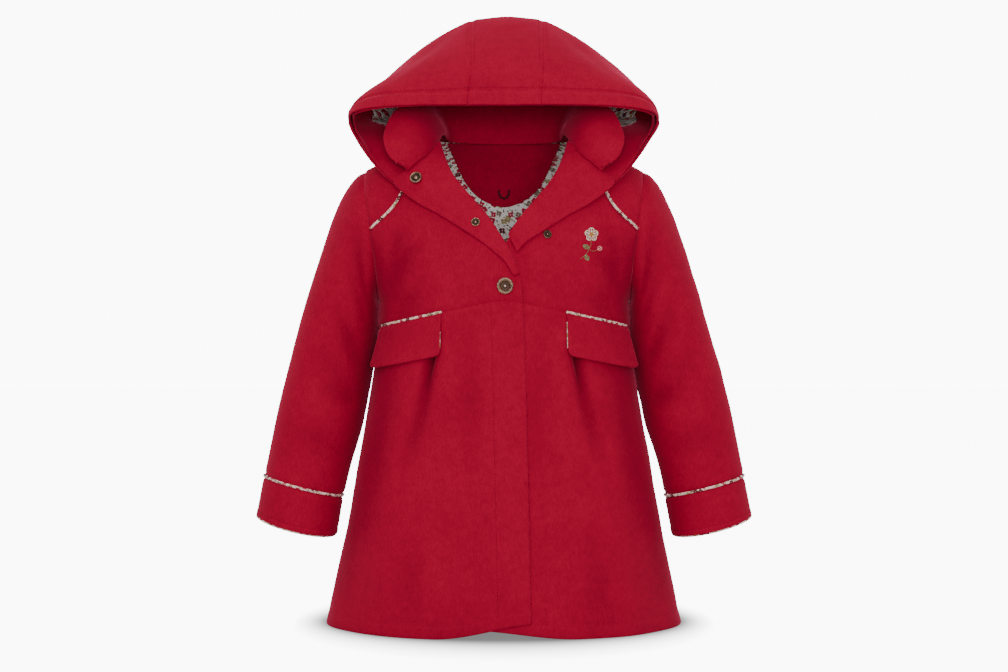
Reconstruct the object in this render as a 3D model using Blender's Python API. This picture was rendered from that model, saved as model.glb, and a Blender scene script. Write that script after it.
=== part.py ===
"""A small girl's hooded wool coat, filled out as if worn, open at the neck.

Lengths are millimetres until a mesh is made. +Z is up, the front faces -Y and +X is the wearer's left.
The origin lies between the shoulders, where a wearer carries the coat. Every cloth piece is a thin closed
wall laid on one of four surfaces: the body, a sleeve, the hood and the collar.
"""
import math

import bpy
from mathutils import Vector

MM = 0.001

# Cloth
WOOL = 2.0
LINING = 1.2
FACING = 1.5
SEAM = 0.3
LOOP_DEPTH = -8.2  # from the outside of the back to the hanging loop's middle
LOOP_Z = -17.0
LOOP_DROP = 9.0
LOOP_HALF_ANGLE = 1.6
LOOP_RADIUS = 0.9
LAYER_GAP = 1.0  # between a panel and the layer inside it
PIPING_RADIUS = 1.25
PIPING_ROOM = 2.7  # from a slanted seam's line up or down to the cloth, with piping between
EDGING_RADIUS = 0.7
CUFF_EDGING_RADIUS = 0.95
CUFF_EDGING_DROP = 1.45

# Body: heights of the main lines
NECK_Z = 33.0
SHOULDER_TIP_Z = -7.0
ARMPIT_Z = -141.0
WAIST_CENTRE_Z = -141.0
WAIST_SIDE_Z = -168.0
HEM_Z = -467.0
NECK_HALF = 66.0
SHOULDER_HALF = 143.0
ARMHOLE_HALF_DEPTH = 56.0
BODY_ROUND = 0.92

# Height, half width at the armhole or side
TORSO_WIDTH = [
    (HEM_Z, 179.5), (-407.0, 168.5), (-345.0, 156.5), (-281.0, 145.0), (-209.0, 134.0),
    (WAIST_SIDE_Z, 129.5), (ARMPIT_Z, 128.0), (-100.0, 130.5), (-60.0, 136.0), (-30.0, 140.5),
    (SHOULDER_TIP_Z, SHOULDER_HALF),
]
# Height, depth of the front, depth of the back
TORSO_DEPTH = [
    (HEM_Z, 126.0, 127.0), (-407.0, 119.0, 120.0), (-345.0, 113.0, 111.0), (-281.0, 106.0, 102.0),
    (-209.0, 98.0, 92.0), (WAIST_SIDE_Z, 94.0, 88.0), (ARMPIT_Z, 93.0, 88.0), (-100.0, 92.0, 88.0),
    (-67.0, 88.0, 86.0), (-30.0, 79.0, 80.0), (SHOULDER_TIP_Z, 69.0, 72.0), (5.0, 63.0, 66.0),
    (20.0, 53.0, 56.0), (NECK_Z, 44.0, 46.0),
]
# Height, distance of the roll line from the centre, on its own side
ROLL_LINE = [
    (-90.0, -1.5), (-75.0, 8.3), (-57.5, 20.5), (-41.0, 34.0), (-28.0, 45.0), (-13.0, 55.0), (-2.0, 60.5),
    (10.0, 65.5), (20.0, 67.5), (NECK_Z, NECK_HALF),
]
# Height, front edge measured from the centre towards the piece's own side
UPPER_EDGE = [(HEM_Z, -25.5), (-300.0, -22.0), (-131.0, -17.0), (-110.0, -11.0)] + ROLL_LINE
UNDER_EDGE = [(HEM_Z, -30.0), (-150.0, -28.0), (-125.0, -24.0), (-105.0, -12.0)] + ROLL_LINE
# Fraction of the way out, distance from the centre, height
YOKE_SEAM = [
    (0.0, 67.5, 21.0), (0.25, 84.0, 5.0), (0.5, 95.5, -20.0), (0.75, 109.5, -47.0), (1.0, 134.5, -70.0),
]

# Pocket flaps and the pleat under each
FLAP_INNER_X = 62.0
FLAP_OUTER_X = 122.0
FLAP_DEPTH = 41.0
FLAP_SPLAY = 5.0
FLAP_CORNER = 6.0
FLAP_TOP_GAP = 1.7  # from the waist seam down to the flap's top edge
FLAP_ROWS = 5
FLAP_COLUMNS = 9
FLAP_LIFT = 3.3  # height of the flap's outer face over the skirt at its top
FLAP_DROOP = 2.4  # how much farther its lower edge stands off
FLAP_KICK = 3.2  # and its outer lower corner
FLAP_PIPING_LIFT = PIPING_RADIUS + 0.35
PLEAT_TOP_X = 69.0
PLEAT_FOOT_X = 104.0
PLEAT_FOOT_Z = -330.0
PLEAT_DEPTH = 5.0
FLUTES = [  # angle round the body, half width in degrees, height of the flute at the hem
    (38.0, 15.0, 4.0), (72.0, 12.0, 3.0), (118.0, 14.0, 4.0), (150.0, 12.0, 3.5),
]

# Sleeve: fraction of its length, outer x, outer z, inner x, inner z, half depth, forward
SLEEVE = [
    (0.00, 143.5, -7.0, 128.6, -141.4, 56.0, 0.0),
    (0.06, 153.0, -14.0, 129.9, -146.0, 55.5, 0.0),
    (0.13, 163.5, -29.0, 131.4, -153.0, 54.0, 0.5),
    (0.21, 175.0, -54.0, 133.0, -163.0, 51.0, 1.0),
    (0.31, 186.0, -86.0, 134.8, -178.0, 48.0, 1.5),
    (0.43, 198.0, -124.0, 137.6, -201.0, 45.0, 2.0),
    (0.56, 209.5, -165.0, 142.0, -233.0, 43.0, 3.0),
    (0.70, 221.5, -210.0, 148.0, -268.0, 41.5, 4.0),
    (0.85, 234.5, -262.0, 156.5, -304.0, 40.0, 5.0),
    (1.00, 245.5, -316.5, 164.5, -337.5, 39.0, 6.0),
]
CUFF = [
    (0.0, 246.3, -320.0, 165.3, -341.0, 39.0, 6.0),
    (0.5, 250.0, -338.0, 168.3, -359.5, 38.5, 6.5),
    (1.0, 253.8, -357.0, 171.6, -377.5, 38.0, 7.0),
]
CUFF_FRONT_DROP = 4.0
SLEEVE_COLUMNS = 24
SLEEVE_WALL = WOOL * 1.2  # towards the sleeve's middle, which is slanted to the wall

# Hood ribs: fraction from rim to back, base x, y, z, widest x, y, z, crown y, z, crown and side roundness
HOOD = [
    (0.00, 104.0, -68.5, -27.0, 155.0, -30.0, 39.0, -75.0, 53.0, 0.50, 1.60),
    (0.12, 98.0, -61.5, -13.0, 158.0, -13.0, 42.0, -68.0, 86.0, 0.80, 1.50),
    (0.28, 88.5, -46.5, 6.5, 155.0, 8.0, 46.0, -42.0, 127.0, 1.20, 1.30),
    (0.45, 78.5, -27.5, 22.5, 148.0, 30.0, 50.0, -5.0, 156.0, 1.30, 1.20),
    (0.58, 67.0, -3.0, 33.4, 138.0, 44.0, 53.0, 26.0, 159.0, 1.30, 1.10),
    (0.74, 65.5, 7.0, 33.4, 117.0, 64.0, 55.0, 62.0, 149.0, 1.15, 1.00),
    (0.88, 62.5, 16.8, 34.2, 88.0, 75.0, 52.0, 88.0, 112.0, 1.00, 1.00),
    (0.96, 59.0, 22.7, 35.1, 62.0, 62.0, 45.0, 84.0, 68.0, 0.95, 1.00),
    (1.00, 56.0, 26.5, 35.1, 38.0, 39.2, 34.7, 46.0, 34.4, 0.92, 1.00),
]
HOOD_FLATTEN = 0.35  # how much of its rounding the centre strip keeps
HOOD_SEAM_X = 36.0
HOOD_SHIFT_X = 3.0
HOOD_CENTRE_SHARE = 0.25
HOOD_WIDEST_SHARE = 0.65
HOOD_SEAM_SHARE = 0.0015
HOOD_FACING_ROWS = 3

# Collar: fraction from its front end to the back, base x, y, z, free edge x, y, z, swell of the fall
COLLAR = [
    (0.00, 97.0, -72.5, -11.0, 101.0, -76.5, -8.0, 0.5),
    (0.07, 92.5, -71.5, -7.5, 111.5, -74.0, 0.5, 3.0),
    (0.16, 86.5, -67.5, -2.0, 117.5, -67.0, 14.0, 6.0),
    (0.27, 78.5, -60.0, 5.0, 117.5, -58.0, 27.0, 8.5),
    (0.40, 71.0, -47.0, 17.5, 109.0, -43.0, 48.0, 9.0),
    (0.56, 63.3, -16.0, 33.9, 92.0, -18.0, 64.0, 6.0),
    (0.72, 56.8, 16.5, 31.2, 70.0, 20.0, 74.0, 2.0),
    (0.86, 34.5, 32.6, 30.9, 43.0, 43.0, 79.0, 1.0),
    (1.00, 0.0, 40.2, 30.9, 0.0, 52.0, 80.0, 0.0),
]
# Lapel, from the gorge down: fraction, roll x, roll z, free edge x, free edge z, lift of the free edge
UPPER_LAPEL = [
    (0.00, 65.4, 16.5, 92.6, -16.5, 6.5), (0.12, 61.5, 2.5, 104.0, -25.0, 7.8),
    (0.24, 55.0, -13.0, 101.4, -32.5, 7.0), (0.38, 45.0, -28.0, 82.2, -46.5, 2.0),
    (0.52, 33.9, -41.2, 63.3, -56.7, 0.8), (0.66, 20.5, -57.5, 41.6, -70.5, 0.4),
    (0.80, 8.3, -75.0, 20.5, -84.3, 0.2), (0.88, -1.5, -90.0, 7.0, -95.2, 0.0),
    (0.94, -7.0, -101.0, -1.8, -103.8, 0.0), (1.00, -12.4, -115.0, -9.6, -116.4, 0.0),
]
UNDER_LAPEL = UPPER_LAPEL[:7] + [(0.90, 5.8, -79.0, 12.5, -93.0, 0.0)]
LAPEL_ROLL = [  # distance from the roll line and height over the cloth: outer face, inner face
    (-2.8, -1.8, -0.8, -1.8), (-3.0, 0.4, -0.8, 0.1), (-2.1, 2.4, -0.3, 0.6), (1.2, 3.5, 1.2, 1.3),
]
BACK_FACING = [  # height, half width
    (-36.0, 6.0), (-30.5, 20.0), (-23.0, 30.5), (-12.0, 40.0), (-3.0, 45.0), (8.0, 50.0), (20.0, 56.0),
    (30.0, 61.0),
]

# Buttons: distance along X, height, radius, thickness, height of the seat over the body
FRONT_BUTTON = (1.0, -127.0, 8.0, 3.2, 0.0)
LAPEL_SNAP = (-84.0, -24.5, 6.0, 2.6, 10.2)
ROLL_SNAP = (-27.5, -65.5, 4.4, 2.2, 3.9)
UNDER_SNAP = (42.5, -76.5, 4.2, 2.2, 0.0)
BUTTON_DISH = 0.4

FRONT_COLUMNS = 16
FRONT_BIAS = 1.25
SIDES = (("right", -1.0), ("left", 1.0))
BACK_COLUMNS = 16
BACK = 180.0
HALF_TURN = 90.0


# Numbers

def ease(x):
    """0 below 0, 1 above 1, and a soft step between."""
    x = min(max(x, 0.0), 1.0)
    return x * x * (3.0 - 2.0 * x)


def row_at(rows, x):
    """The columns of a table at x, on a smooth curve through its rows."""
    last = len(rows) - 1
    x = min(max(x, rows[0][0]), rows[last][0])
    i = max(j for j in range(last) if rows[j][0] <= x)
    span = rows[i + 1][0] - rows[i][0]
    f = (x - rows[i][0]) / span

    def slope(j, column):
        before = rows[max(j - 1, 0)]
        after = rows[min(j + 1, last)]
        return (after[column] - before[column]) / (after[0] - before[0])

    values = []
    for column in range(1, len(rows[0])):
        start, end = rows[i][column], rows[i + 1][column]
        lead, tail = slope(i, column) * span, slope(i + 1, column) * span
        values.append(
            start * (1 + 2 * f) * (1 - f) ** 2 + lead * f * (1 - f) ** 2
            + end * f * f * (3 - 2 * f) - tail * f * f * (1 - f)
        )
    return values


def power(x, exponent):
    return max(x, 0.0) ** exponent


def spread(first, last, count):
    return [first + (last - first) * i / count for i in range(count + 1)]


HOOD_ROWS = [0.0, 0.07, 0.16, 0.17] + spread(0.26, 1.0, 8)
HOOD_FLANK = spread(HOOD_CENTRE_SHARE, 1.0, 11)


# The body surface

def half_width(z):
    if z <= SHOULDER_TIP_Z:
        return row_at(TORSO_WIDTH, z)[0]
    rise = (z - SHOULDER_TIP_Z) / (NECK_Z - SHOULDER_TIP_Z)
    return SHOULDER_HALF + (NECK_HALF - SHOULDER_HALF) * rise


def armhole_depth(z):
    middle = (SHOULDER_TIP_Z + ARMPIT_Z) / 2
    reach = (SHOULDER_TIP_Z - ARMPIT_Z) / 2
    return ARMHOLE_HALF_DEPTH * math.sqrt(max(1.0 - ((z - middle) / reach) ** 2, 0.0))


def ring(z, back):
    """Virtual half width and depth of the body at z, and the angle at which its armhole or side starts."""
    depth = row_at(TORSO_DEPTH, z)[1 if back else 0]
    edge = math.acos(min((armhole_depth(z) / depth) ** (1 / BODY_ROUND), 1.0))
    return half_width(z) / math.sin(edge) ** BODY_ROUND, depth, math.degrees(edge)


def side_angle(z, back=False):
    edge = ring(z, back)[2]
    return BACK - edge if back else edge


def angle_of(x, z):
    """The front angle at a distance x from the centre."""
    width = ring(z, False)[0]
    turn = math.asin(min((abs(x) / width) ** (1 / BODY_ROUND), 1.0))
    return math.copysign(math.degrees(turn), x)


def bare_body(angle, z):
    turn = (angle + BACK) % (2 * BACK) - BACK
    back = abs(turn) > HALF_TURN
    width, depth, _ = ring(z, back)
    quarter = math.radians(BACK - abs(turn) if back else abs(turn))
    x = math.copysign(width * power(math.sin(quarter), BODY_ROUND), turn)
    y = depth * power(math.cos(quarter), BODY_ROUND)
    return Vector((x, y if back else -y, z))


def body_out(angle, z):
    """The outward direction of the body surface."""
    across = bare_body(angle + 0.6, z) - bare_body(angle - 0.6, z)
    up = bare_body(angle, min(z + 0.6, NECK_Z)) - bare_body(angle, z - 0.6)
    return across.cross(up).normalized()


def on_body(angle, z, over=0.0):
    return bare_body(angle, z) + body_out(angle, z) * over


def flute(angle, z):
    """Soft flutes that open from the waist to the hem."""
    fall = ease((WAIST_SIDE_Z - z) / (WAIST_SIDE_Z - HEM_Z))
    turn = abs((angle + BACK) % (2 * BACK) - BACK)
    return fall * sum(
        height * math.exp(-((turn - middle) / spread) ** 2) for middle, spread, height in FLUTES
    )


def pleat(angle, z):
    """The pleat that starts under the inner corner of each pocket flap."""
    if abs(angle) > HALF_TURN or z > WAIST_CENTRE_Z:
        return 0.0
    down = (WAIST_SIDE_Z - z) / (WAIST_SIDE_Z - PLEAT_FOOT_Z)
    x = abs(bare_body(angle, z).x)
    centre = PLEAT_TOP_X + (PLEAT_FOOT_X - PLEAT_TOP_X) * max(down, 0.0) ** 1.3
    spread = 8.0 + 10.0 * max(down, 0.0)
    fade = ease((1.15 - down) / 0.8) * ease((down + 0.16) / 0.2)
    trough = math.exp(-((x - centre) / spread) ** 2)
    ridge = math.exp(-((x - centre + 2.2 * spread) / (1.6 * spread)) ** 2)
    return PLEAT_DEPTH * fade * (0.45 * ridge - trough)


def waist(x):
    """Height of the waist seam, which rises to the centre of the front."""
    return max(WAIST_CENTRE_Z - 0.215 * (math.hypot(x, 8.0) - 8.0), WAIST_SIDE_Z)


def hem(x):
    """Height of a front's hem, which rises to its free edge; x grows towards its own side."""
    return HEM_Z + 17.0 * ease((90.0 - x) / 118.0)


def covered(x, z):
    """How far the under front lies inside the upper front, at x on the wearer's left."""
    edge = -row_at(UPPER_EDGE, z)[0]
    return (WOOL + 0.8) * (1.0 - ease((x - edge - 6.0) / 16.0))


# Meshes

def material(name, colour, roughness, metallic=0.0):
    made = bpy.data.materials.new(name)
    made.use_nodes = True
    shader = made.node_tree.nodes["Principled BSDF"]
    shader.inputs["Base Color"].default_value = (*colour, 1.0)
    shader.inputs["Roughness"].default_value = roughness
    shader.inputs["Metallic"].default_value = metallic
    return made


def signed_volume(points, faces):
    total = 0.0
    for face in faces:
        a, b, c = (points[i] for i in face)
        total += a.dot(b.cross(c))
    return total


def solid(name, points, faces, look):
    """A closed object from points in millimetres, with its faces turned outwards."""
    triangles = []
    for face in faces:
        for i in range(1, len(face) - 1):
            triangles.append((face[0], face[i], face[i + 1]))
    if signed_volume(points, triangles) < 0:
        triangles = [(a, c, b) for a, b, c in triangles]
    mesh = bpy.data.meshes.new(name)
    mesh.from_pydata([p * MM for p in points], [], triangles)
    mesh.materials.append(look)
    mesh.shade_smooth()
    mesh.set_sharp_from_angle(angle=math.radians(40))
    thing = bpy.data.objects.new(name, mesh)
    bpy.context.scene.collection.objects.link(thing)
    return thing


def wall(name, outer, inner, look, closed=False):
    """A cloth wall between two grids of the same size; closed joins the last column to the first."""
    rows, columns = len(outer), len(outer[0])
    points = [p for row in outer for p in row] + [p for row in inner for p in row]
    far = rows * columns

    def at(row, column, side):
        return side * far + row * columns + column % columns

    faces = []
    steps = columns if closed else columns - 1
    for i in range(rows - 1):
        for j in range(steps):
            faces.append((at(i, j, 0), at(i, j + 1, 0), at(i + 1, j + 1, 0), at(i + 1, j, 0)))
            faces.append((at(i, j, 1), at(i + 1, j, 1), at(i + 1, j + 1, 1), at(i, j + 1, 1)))
    for j in range(steps):
        faces.append((at(0, j, 0), at(0, j, 1), at(0, j + 1, 1), at(0, j + 1, 0)))
        last = rows - 1
        faces.append((at(last, j, 0), at(last, j + 1, 0), at(last, j + 1, 1), at(last, j, 1)))
    if not closed:
        for i in range(rows - 1):
            faces.append((at(i, 0, 0), at(i + 1, 0, 0), at(i + 1, 0, 1), at(i, 0, 1)))
            end = columns - 1
            faces.append((at(i, end, 0), at(i, end, 1), at(i + 1, end, 1), at(i + 1, end, 0)))
    return solid(name, points, faces, look)


def rod(name, path, radius, look, sides=6, closed=False):
    """A round cord along a path; closed joins its ends."""
    count = len(path)
    points = []
    side = None
    for i, centre in enumerate(path):
        before = path[i - 1] if i or closed else path[0]
        after = path[(i + 1) % count] if i < count - 1 or closed else path[-1]
        along = (after - before).normalized()
        side = along.cross(Vector((0, 0, 1))) if side is None else side - along * side.dot(along)
        side.normalize()
        up = along.cross(side)
        for k in range(sides):
            turn = 2 * math.pi * k / sides
            points.append(centre + (side * math.cos(turn) + up * math.sin(turn)) * radius)
    faces = []
    for i in range(count if closed else count - 1):
        for k in range(sides):
            a, b = i * sides + k, i * sides + (k + 1) % sides
            c, d = (i + 1) % count * sides + (k + 1) % sides, (i + 1) % count * sides + k
            faces.append((a, b, c, d))
    if not closed:
        faces.append(tuple(reversed(range(sides))))
        faces.append(tuple(range((count - 1) * sides, count * sides)))
    return solid(name, points, faces, look)


def turned(name, centre, axis, profile, look, sides):
    """A turned piece: profile is (radius, height along the axis) from the middle of its back."""
    axis = axis.normalized()
    across = axis.cross(Vector((0, 0, 1))).normalized()
    up = across.cross(axis)
    points = [centre + axis * profile[0][1]]
    for radius, height in profile[1:-1]:
        for k in range(sides):
            turn = 2 * math.pi * k / sides
            way = across * math.cos(turn) + up * math.sin(turn)
            points.append(centre + way * radius + axis * height)
    points.append(centre + axis * profile[-1][1])
    faces = []
    for k in range(sides):
        faces.append((0, 1 + k, 1 + (k + 1) % sides))
        last = 1 + (len(profile) - 3) * sides
        faces.append((len(points) - 1, last + (k + 1) % sides, last + k))
    for i in range(len(profile) - 3):
        for k in range(sides):
            a, b = 1 + i * sides + k, 1 + i * sides + (k + 1) % sides
            faces.append((a, a + sides, b + sides, b))
    return solid(name, points, faces, look)


# Laying pieces on the body

def patch(bottom, top, start, end, across, up, bias=1.0):
    """A grid of (angle, height) inside four edges; start and end run upwards at the two ends.

    A bias over 1 crowds the columns towards the start.
    """
    grid = []
    for j in range(up + 1):
        v = j / up
        row = []
        for i in range(across + 1):
            u = (i / across) ** bias
            cell = []
            for k in (0, 1):
                ruled = (1 - v) * bottom(u)[k] + v * top(u)[k]
                ruled += (1 - u) * start(v)[k] + u * end(v)[k]
                corners = (
                    (1 - u) * (1 - v) * bottom(0)[k] + u * (1 - v) * bottom(1)[k]
                    + (1 - u) * v * top(0)[k] + u * v * top(1)[k]
                )
                cell.append(ruled - corners)
            row.append(tuple(cell))
        grid.append(row)
    return grid


def laid(name, grid, side, over, thick, look):
    """A wall on the body from a grid of (angle, height); over(angle, z) lifts its outer face."""
    outer = [[on_body(side * a, z, over(a, z)) for a, z in row] for row in grid]
    inner = [[on_body(side * a, z, over(a, z) - thick) for a, z in row] for row in grid]
    return wall(name, outer, inner, look)


def degrees_at(z, length):
    """The angle that a short length along the ring takes, near the side."""
    return math.degrees(length / row_at(TORSO_DEPTH, z)[0])


def armhole_heights(low, high, count):
    """Heights along the armhole's edge, even in its own angle."""
    middle = (SHOULDER_TIP_Z + ARMPIT_Z) / 2
    reach = (SHOULDER_TIP_Z - ARMPIT_Z) / 2
    first = math.acos(max(min((middle - low) / reach, 1.0), -1.0))
    final = math.acos(max(min((middle - high) / reach, 1.0), -1.0))
    return [middle - reach * math.cos(first + (final - first) * i / count) for i in range(count + 1)]


def stepped(values, v):
    """A value from an even list, v from 0 to 1."""
    place = v * (len(values) - 1)
    i = min(int(place), len(values) - 2)
    return values[i] + (values[i + 1] - values[i]) * (place - i)


def front_span(edge, z, u):
    """The angle at a share u of the way from a front's free edge to its side seam."""
    first = angle_of(row_at(edge, z)[0], z)
    return first + (HALF_TURN - degrees_at(z, SEAM / 2) - first) * u


def waist_edge(edge, u, gap):
    """A point of the waist seam's edge on a front, moved up by gap."""
    angle = front_span(edge, WAIST_CENTRE_Z, u)
    return angle, waist(bare_body(angle, WAIST_SIDE_Z).x) + gap


def bodice_front(name, side, look):
    edge = UPPER_EDGE if side < 0 else UNDER_EDGE
    low = waist_edge(edge, 0.0, SEAM / 2)[1]
    high = YOKE_SEAM[0][2] - PIPING_ROOM
    low_side = waist_edge(edge, 1.0, SEAM / 2)[1]
    side_heights = [low_side, -153.0] + armhole_heights(ARMPIT_Z, YOKE_SEAM[-1][2] - PIPING_ROOM, 5)

    def top(u):
        x, z = row_at(YOKE_SEAM, u)
        return angle_of(x, z - PIPING_ROOM), z - PIPING_ROOM

    def start(v):
        z = low + (high - low) * v
        return (angle_of(row_at(edge, z)[0], z) if v < 1 else top(0.0)[0]), z

    def end(v):
        z = stepped(side_heights, v)
        return side_angle(z) - degrees_at(z, SEAM / 2), z

    def over(angle, z):
        return -covered(bare_body(angle, z).x, z) if side > 0 else 0.0

    def bottom(u):
        return waist_edge(edge, u, SEAM / 2)

    grid = patch(bottom, top, start, end, FRONT_COLUMNS, 12, FRONT_BIAS)
    return laid(name, grid, side, over, WOOL, look)


def yoke(name, side, look):
    heights = armhole_heights(YOKE_SEAM[-1][2] + PIPING_ROOM, SHOULDER_TIP_Z, 4)
    shoulder = NECK_Z - SHOULDER_TIP_Z

    def bottom(u):
        x, z = row_at(YOKE_SEAM, u)
        return angle_of(x, z + PIPING_ROOM), z + PIPING_ROOM

    def top(u):
        return HALF_TURN - 0.3, NECK_Z - shoulder * u

    def start(v):
        z = YOKE_SEAM[0][2] + PIPING_ROOM + (NECK_Z - YOKE_SEAM[0][2] - PIPING_ROOM) * v
        return angle_of(row_at(ROLL_LINE, z)[0], z) if v < 1 else HALF_TURN - 0.3, z

    def end(v):
        z = stepped(heights, v)
        return side_angle(z) - degrees_at(z, SEAM / 2), z

    return laid(name, patch(bottom, top, start, end, 9, 4), side, lambda a, z: 0.0, WOOL, look)


def skirt_front(name, side, look):
    edge = UPPER_EDGE if side < 0 else UNDER_EDGE

    def bottom(u):
        angle = front_span(edge, HEM_Z, u)
        return angle, hem(bare_body(angle, HEM_Z).x)

    def top(u):
        return waist_edge(edge, u, -SEAM / 2)

    def start(v):
        low, high = bottom(0)[1], top(0)[1]
        z = low + (high - low) * v
        return angle_of(row_at(edge, z)[0], z), z

    def end(v):
        low, high = bottom(1)[1], top(1)[1]
        z = low + (high - low) * v
        return HALF_TURN - degrees_at(z, SEAM / 2), z

    def over(angle, z):
        lift = flute(angle, z) + pleat(angle, z)
        return lift - (covered(bare_body(angle, z).x, z) if side > 0 else 0.0)

    grid = patch(bottom, top, start, end, FRONT_COLUMNS, 11, FRONT_BIAS)
    return laid(name, grid, side, over, WOOL, look)


def back_rows(heights, count, margin):
    """A grid round the back, from side to side, one row for each height."""
    grid = []
    for z in heights:
        first = side_angle(z, True) + degrees_at(z, margin)
        grid.append([(first + (2 * BACK - 2 * first) * i / count, z) for i in range(count + 1)])
    return grid


def bodice_back_grid():
    heights = [WAIST_SIDE_Z + SEAM / 2, -155.0] + armhole_heights(ARMPIT_Z, SHOULDER_TIP_Z, 7)
    return back_rows(heights + [6.0, 20.0, NECK_Z], BACK_COLUMNS, SEAM)


def bodice_back(look):
    return laid("bodice_back", bodice_back_grid(), 1.0, lambda a, z: 0.0, WOOL, look)


def skirt_back(look):
    heights = spread(HEM_Z, WAIST_SIDE_Z - SEAM / 2, 7)
    return laid("skirt_back", back_rows(heights, BACK_COLUMNS, SEAM / 2), 1.0, flute, WOOL, look)


def back_lining(look):
    """The printed lining inside the back of the bodice, which shows through the open neck."""
    grid = [row[1:-1] for row in bodice_back_grid()[:-1]]
    return laid("back_lining", grid, 1.0, lambda a, z: -WOOL - LAYER_GAP, LINING, look)


def back_facing(look):
    """The wool facing inside the back neck, a deep U."""
    grid = []
    for z, half in BACK_FACING:
        half_angle = math.degrees(math.asin((half / ring(z, True)[0]) ** (1 / BODY_ROUND)))
        grid.append([(angle, z) for angle in spread(BACK - half_angle, BACK + half_angle, 10)])
    over = -WOOL - LINING - 2 * LAYER_GAP
    return laid("back_neck_facing", grid, 1.0, lambda a, z: over, FACING, look)


# Flaps, pipings and buttons

def flap_lift(u, v):
    """Height of a flap's outer face over the skirt; it stands off more at its outer and lower edges."""
    return FLAP_LIFT + (FLAP_DROOP + FLAP_KICK * u * u) * (1 - v)


def flap_corner(length):
    """How much a rounded corner takes off the flap's depth, at a length from its end."""
    inside = 1 - min(length, FLAP_CORNER) / FLAP_CORNER
    return 0.45 * FLAP_CORNER * (1 - math.sqrt(1 - inside * inside))


def flap_grid():
    width = FLAP_OUTER_X - FLAP_INNER_X
    grid = []
    for v in spread(0.0, 1.0, FLAP_ROWS):
        row = []
        for u in spread(0.0, 1.0, FLAP_COLUMNS):
            x = FLAP_INNER_X + (width + FLAP_SPLAY * (1 - v)) * u
            depth = FLAP_DEPTH - flap_corner(u * width) - flap_corner((1 - u) * width)
            z = waist(x) - FLAP_TOP_GAP - (1 - v) * depth
            row.append((angle_of(x, z), z, flap_lift(u, v)))
        grid.append(row)
    return grid


def flap(name, side, look):
    grid = flap_grid()
    outer = [[on_body(side * a, z, lift) for a, z, lift in row] for row in grid]
    inner = [[on_body(side * a, z, lift - WOOL) for a, z, lift in row] for row in grid]
    return wall(name, outer, inner, look)


def neck_loop(look):
    """The small hanging loop sewn inside the back neck."""
    path = []
    for turn in spread(0.0, math.pi, 8):
        angle, z = BACK + LOOP_HALF_ANGLE * math.cos(turn), LOOP_Z - LOOP_DROP * math.sin(turn)
        path.append(on_body(angle, z, LOOP_DEPTH - math.sin(turn)))
    return rod("neck_loop", path, LOOP_RADIUS, look, sides=5)


def flap_edging(name, side, look):
    """The edge of the printed flap lining, which shows along the flap's inner end."""
    path = []
    top = waist(FLAP_INNER_X) - 3.5
    for share in spread(0.0, 1.0, 8):
        z = top - (FLAP_DEPTH - 9.0) * share
        path.append(on_body(side * angle_of(FLAP_INNER_X - 1.2, z), z, 2.6 + 1.6 * share))
    return rod(name, path, EDGING_RADIUS, look, sides=5)


def flap_piping(name, side, look):
    path = []
    for x in spread(FLAP_INNER_X - 1.0, FLAP_OUTER_X, 12):
        z = waist(x)
        path.append(on_body(side * angle_of(x, z), z, FLAP_PIPING_LIFT))
    return rod(name, path, PIPING_RADIUS, look)


def yoke_piping(name, side, look):
    path = []
    for share in spread(0.03, 0.985, 16):
        x, z = row_at(YOKE_SEAM, share)
        path.append(on_body(side * angle_of(x, z), z, SEAM))
    return rod(name, path, PIPING_RADIUS, look)


def button_profile(radius, thick, dish):
    """Back to front: flat back, round edge, raised rim, dished middle and a small central boss."""
    return [
        (0.0, 0.0), (radius * 0.8, 0.0), (radius, thick * 0.45), (radius * 0.95, thick * 0.85),
        (radius * 0.82, thick), (radius * 0.68, thick - dish), (radius * 0.34, thick - dish),
        (radius * 0.24, thick - dish * 0.4), (0.0, thick - dish * 0.35),
    ]


def fastener(name, place, sides, look):
    x, z, radius, thick, base = place
    angle = angle_of(x, z)
    seat = on_body(angle, z, base + SEAM)
    profile = button_profile(radius, thick, thick * BUTTON_DISH)
    return turned(name, seat, body_out(angle, z), profile, look, sides)


# Sleeves and cuffs

def sleeve_point(rows, fraction, turn, side, inset=0.0, drop=0.0):
    outer_x, outer_z, inner_x, inner_z, depth, forward = row_at(rows, fraction)
    centre = Vector(((outer_x + inner_x) / 2, -forward, (outer_z + inner_z) / 2))
    half = Vector(((outer_x - inner_x) / 2, 0.0, (outer_z - inner_z) / 2))
    point = centre + half * math.cos(turn) + Vector((0.0, -depth * math.sin(turn), -drop * math.sin(turn)))
    point -= (point - centre).normalized() * inset
    return Vector((side * point.x, point.y, point.z))


def sleeve_ring(rows, fraction, side, inset, count, drop=0.0):
    turns = [2 * math.pi * i / count for i in range(count)]
    return [sleeve_point(rows, fraction, turn, side, inset, drop) for turn in turns]


def sleeve(name, side, look):
    stations = [0.0, 0.04, 0.1, 0.17, 0.26, 0.37, 0.5, 0.65, 0.82, 1.0]
    outer = [sleeve_ring(SLEEVE, s, side, 0.0, SLEEVE_COLUMNS) for s in stations]
    inner = [sleeve_ring(SLEEVE, s, side, SLEEVE_WALL, SLEEVE_COLUMNS) for s in stations]
    return wall(name, outer, inner, look, closed=True)


def cuff(name, side, look):
    stations = [0.0, 0.5, 1.0]
    outer = [sleeve_ring(CUFF, s, side, 0.0, SLEEVE_COLUMNS, CUFF_FRONT_DROP * s) for s in stations]
    inner = [sleeve_ring(CUFF, s, side, SLEEVE_WALL, SLEEVE_COLUMNS, CUFF_FRONT_DROP * s) for s in stations]
    return wall(name, outer, inner, look, closed=True)


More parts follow.
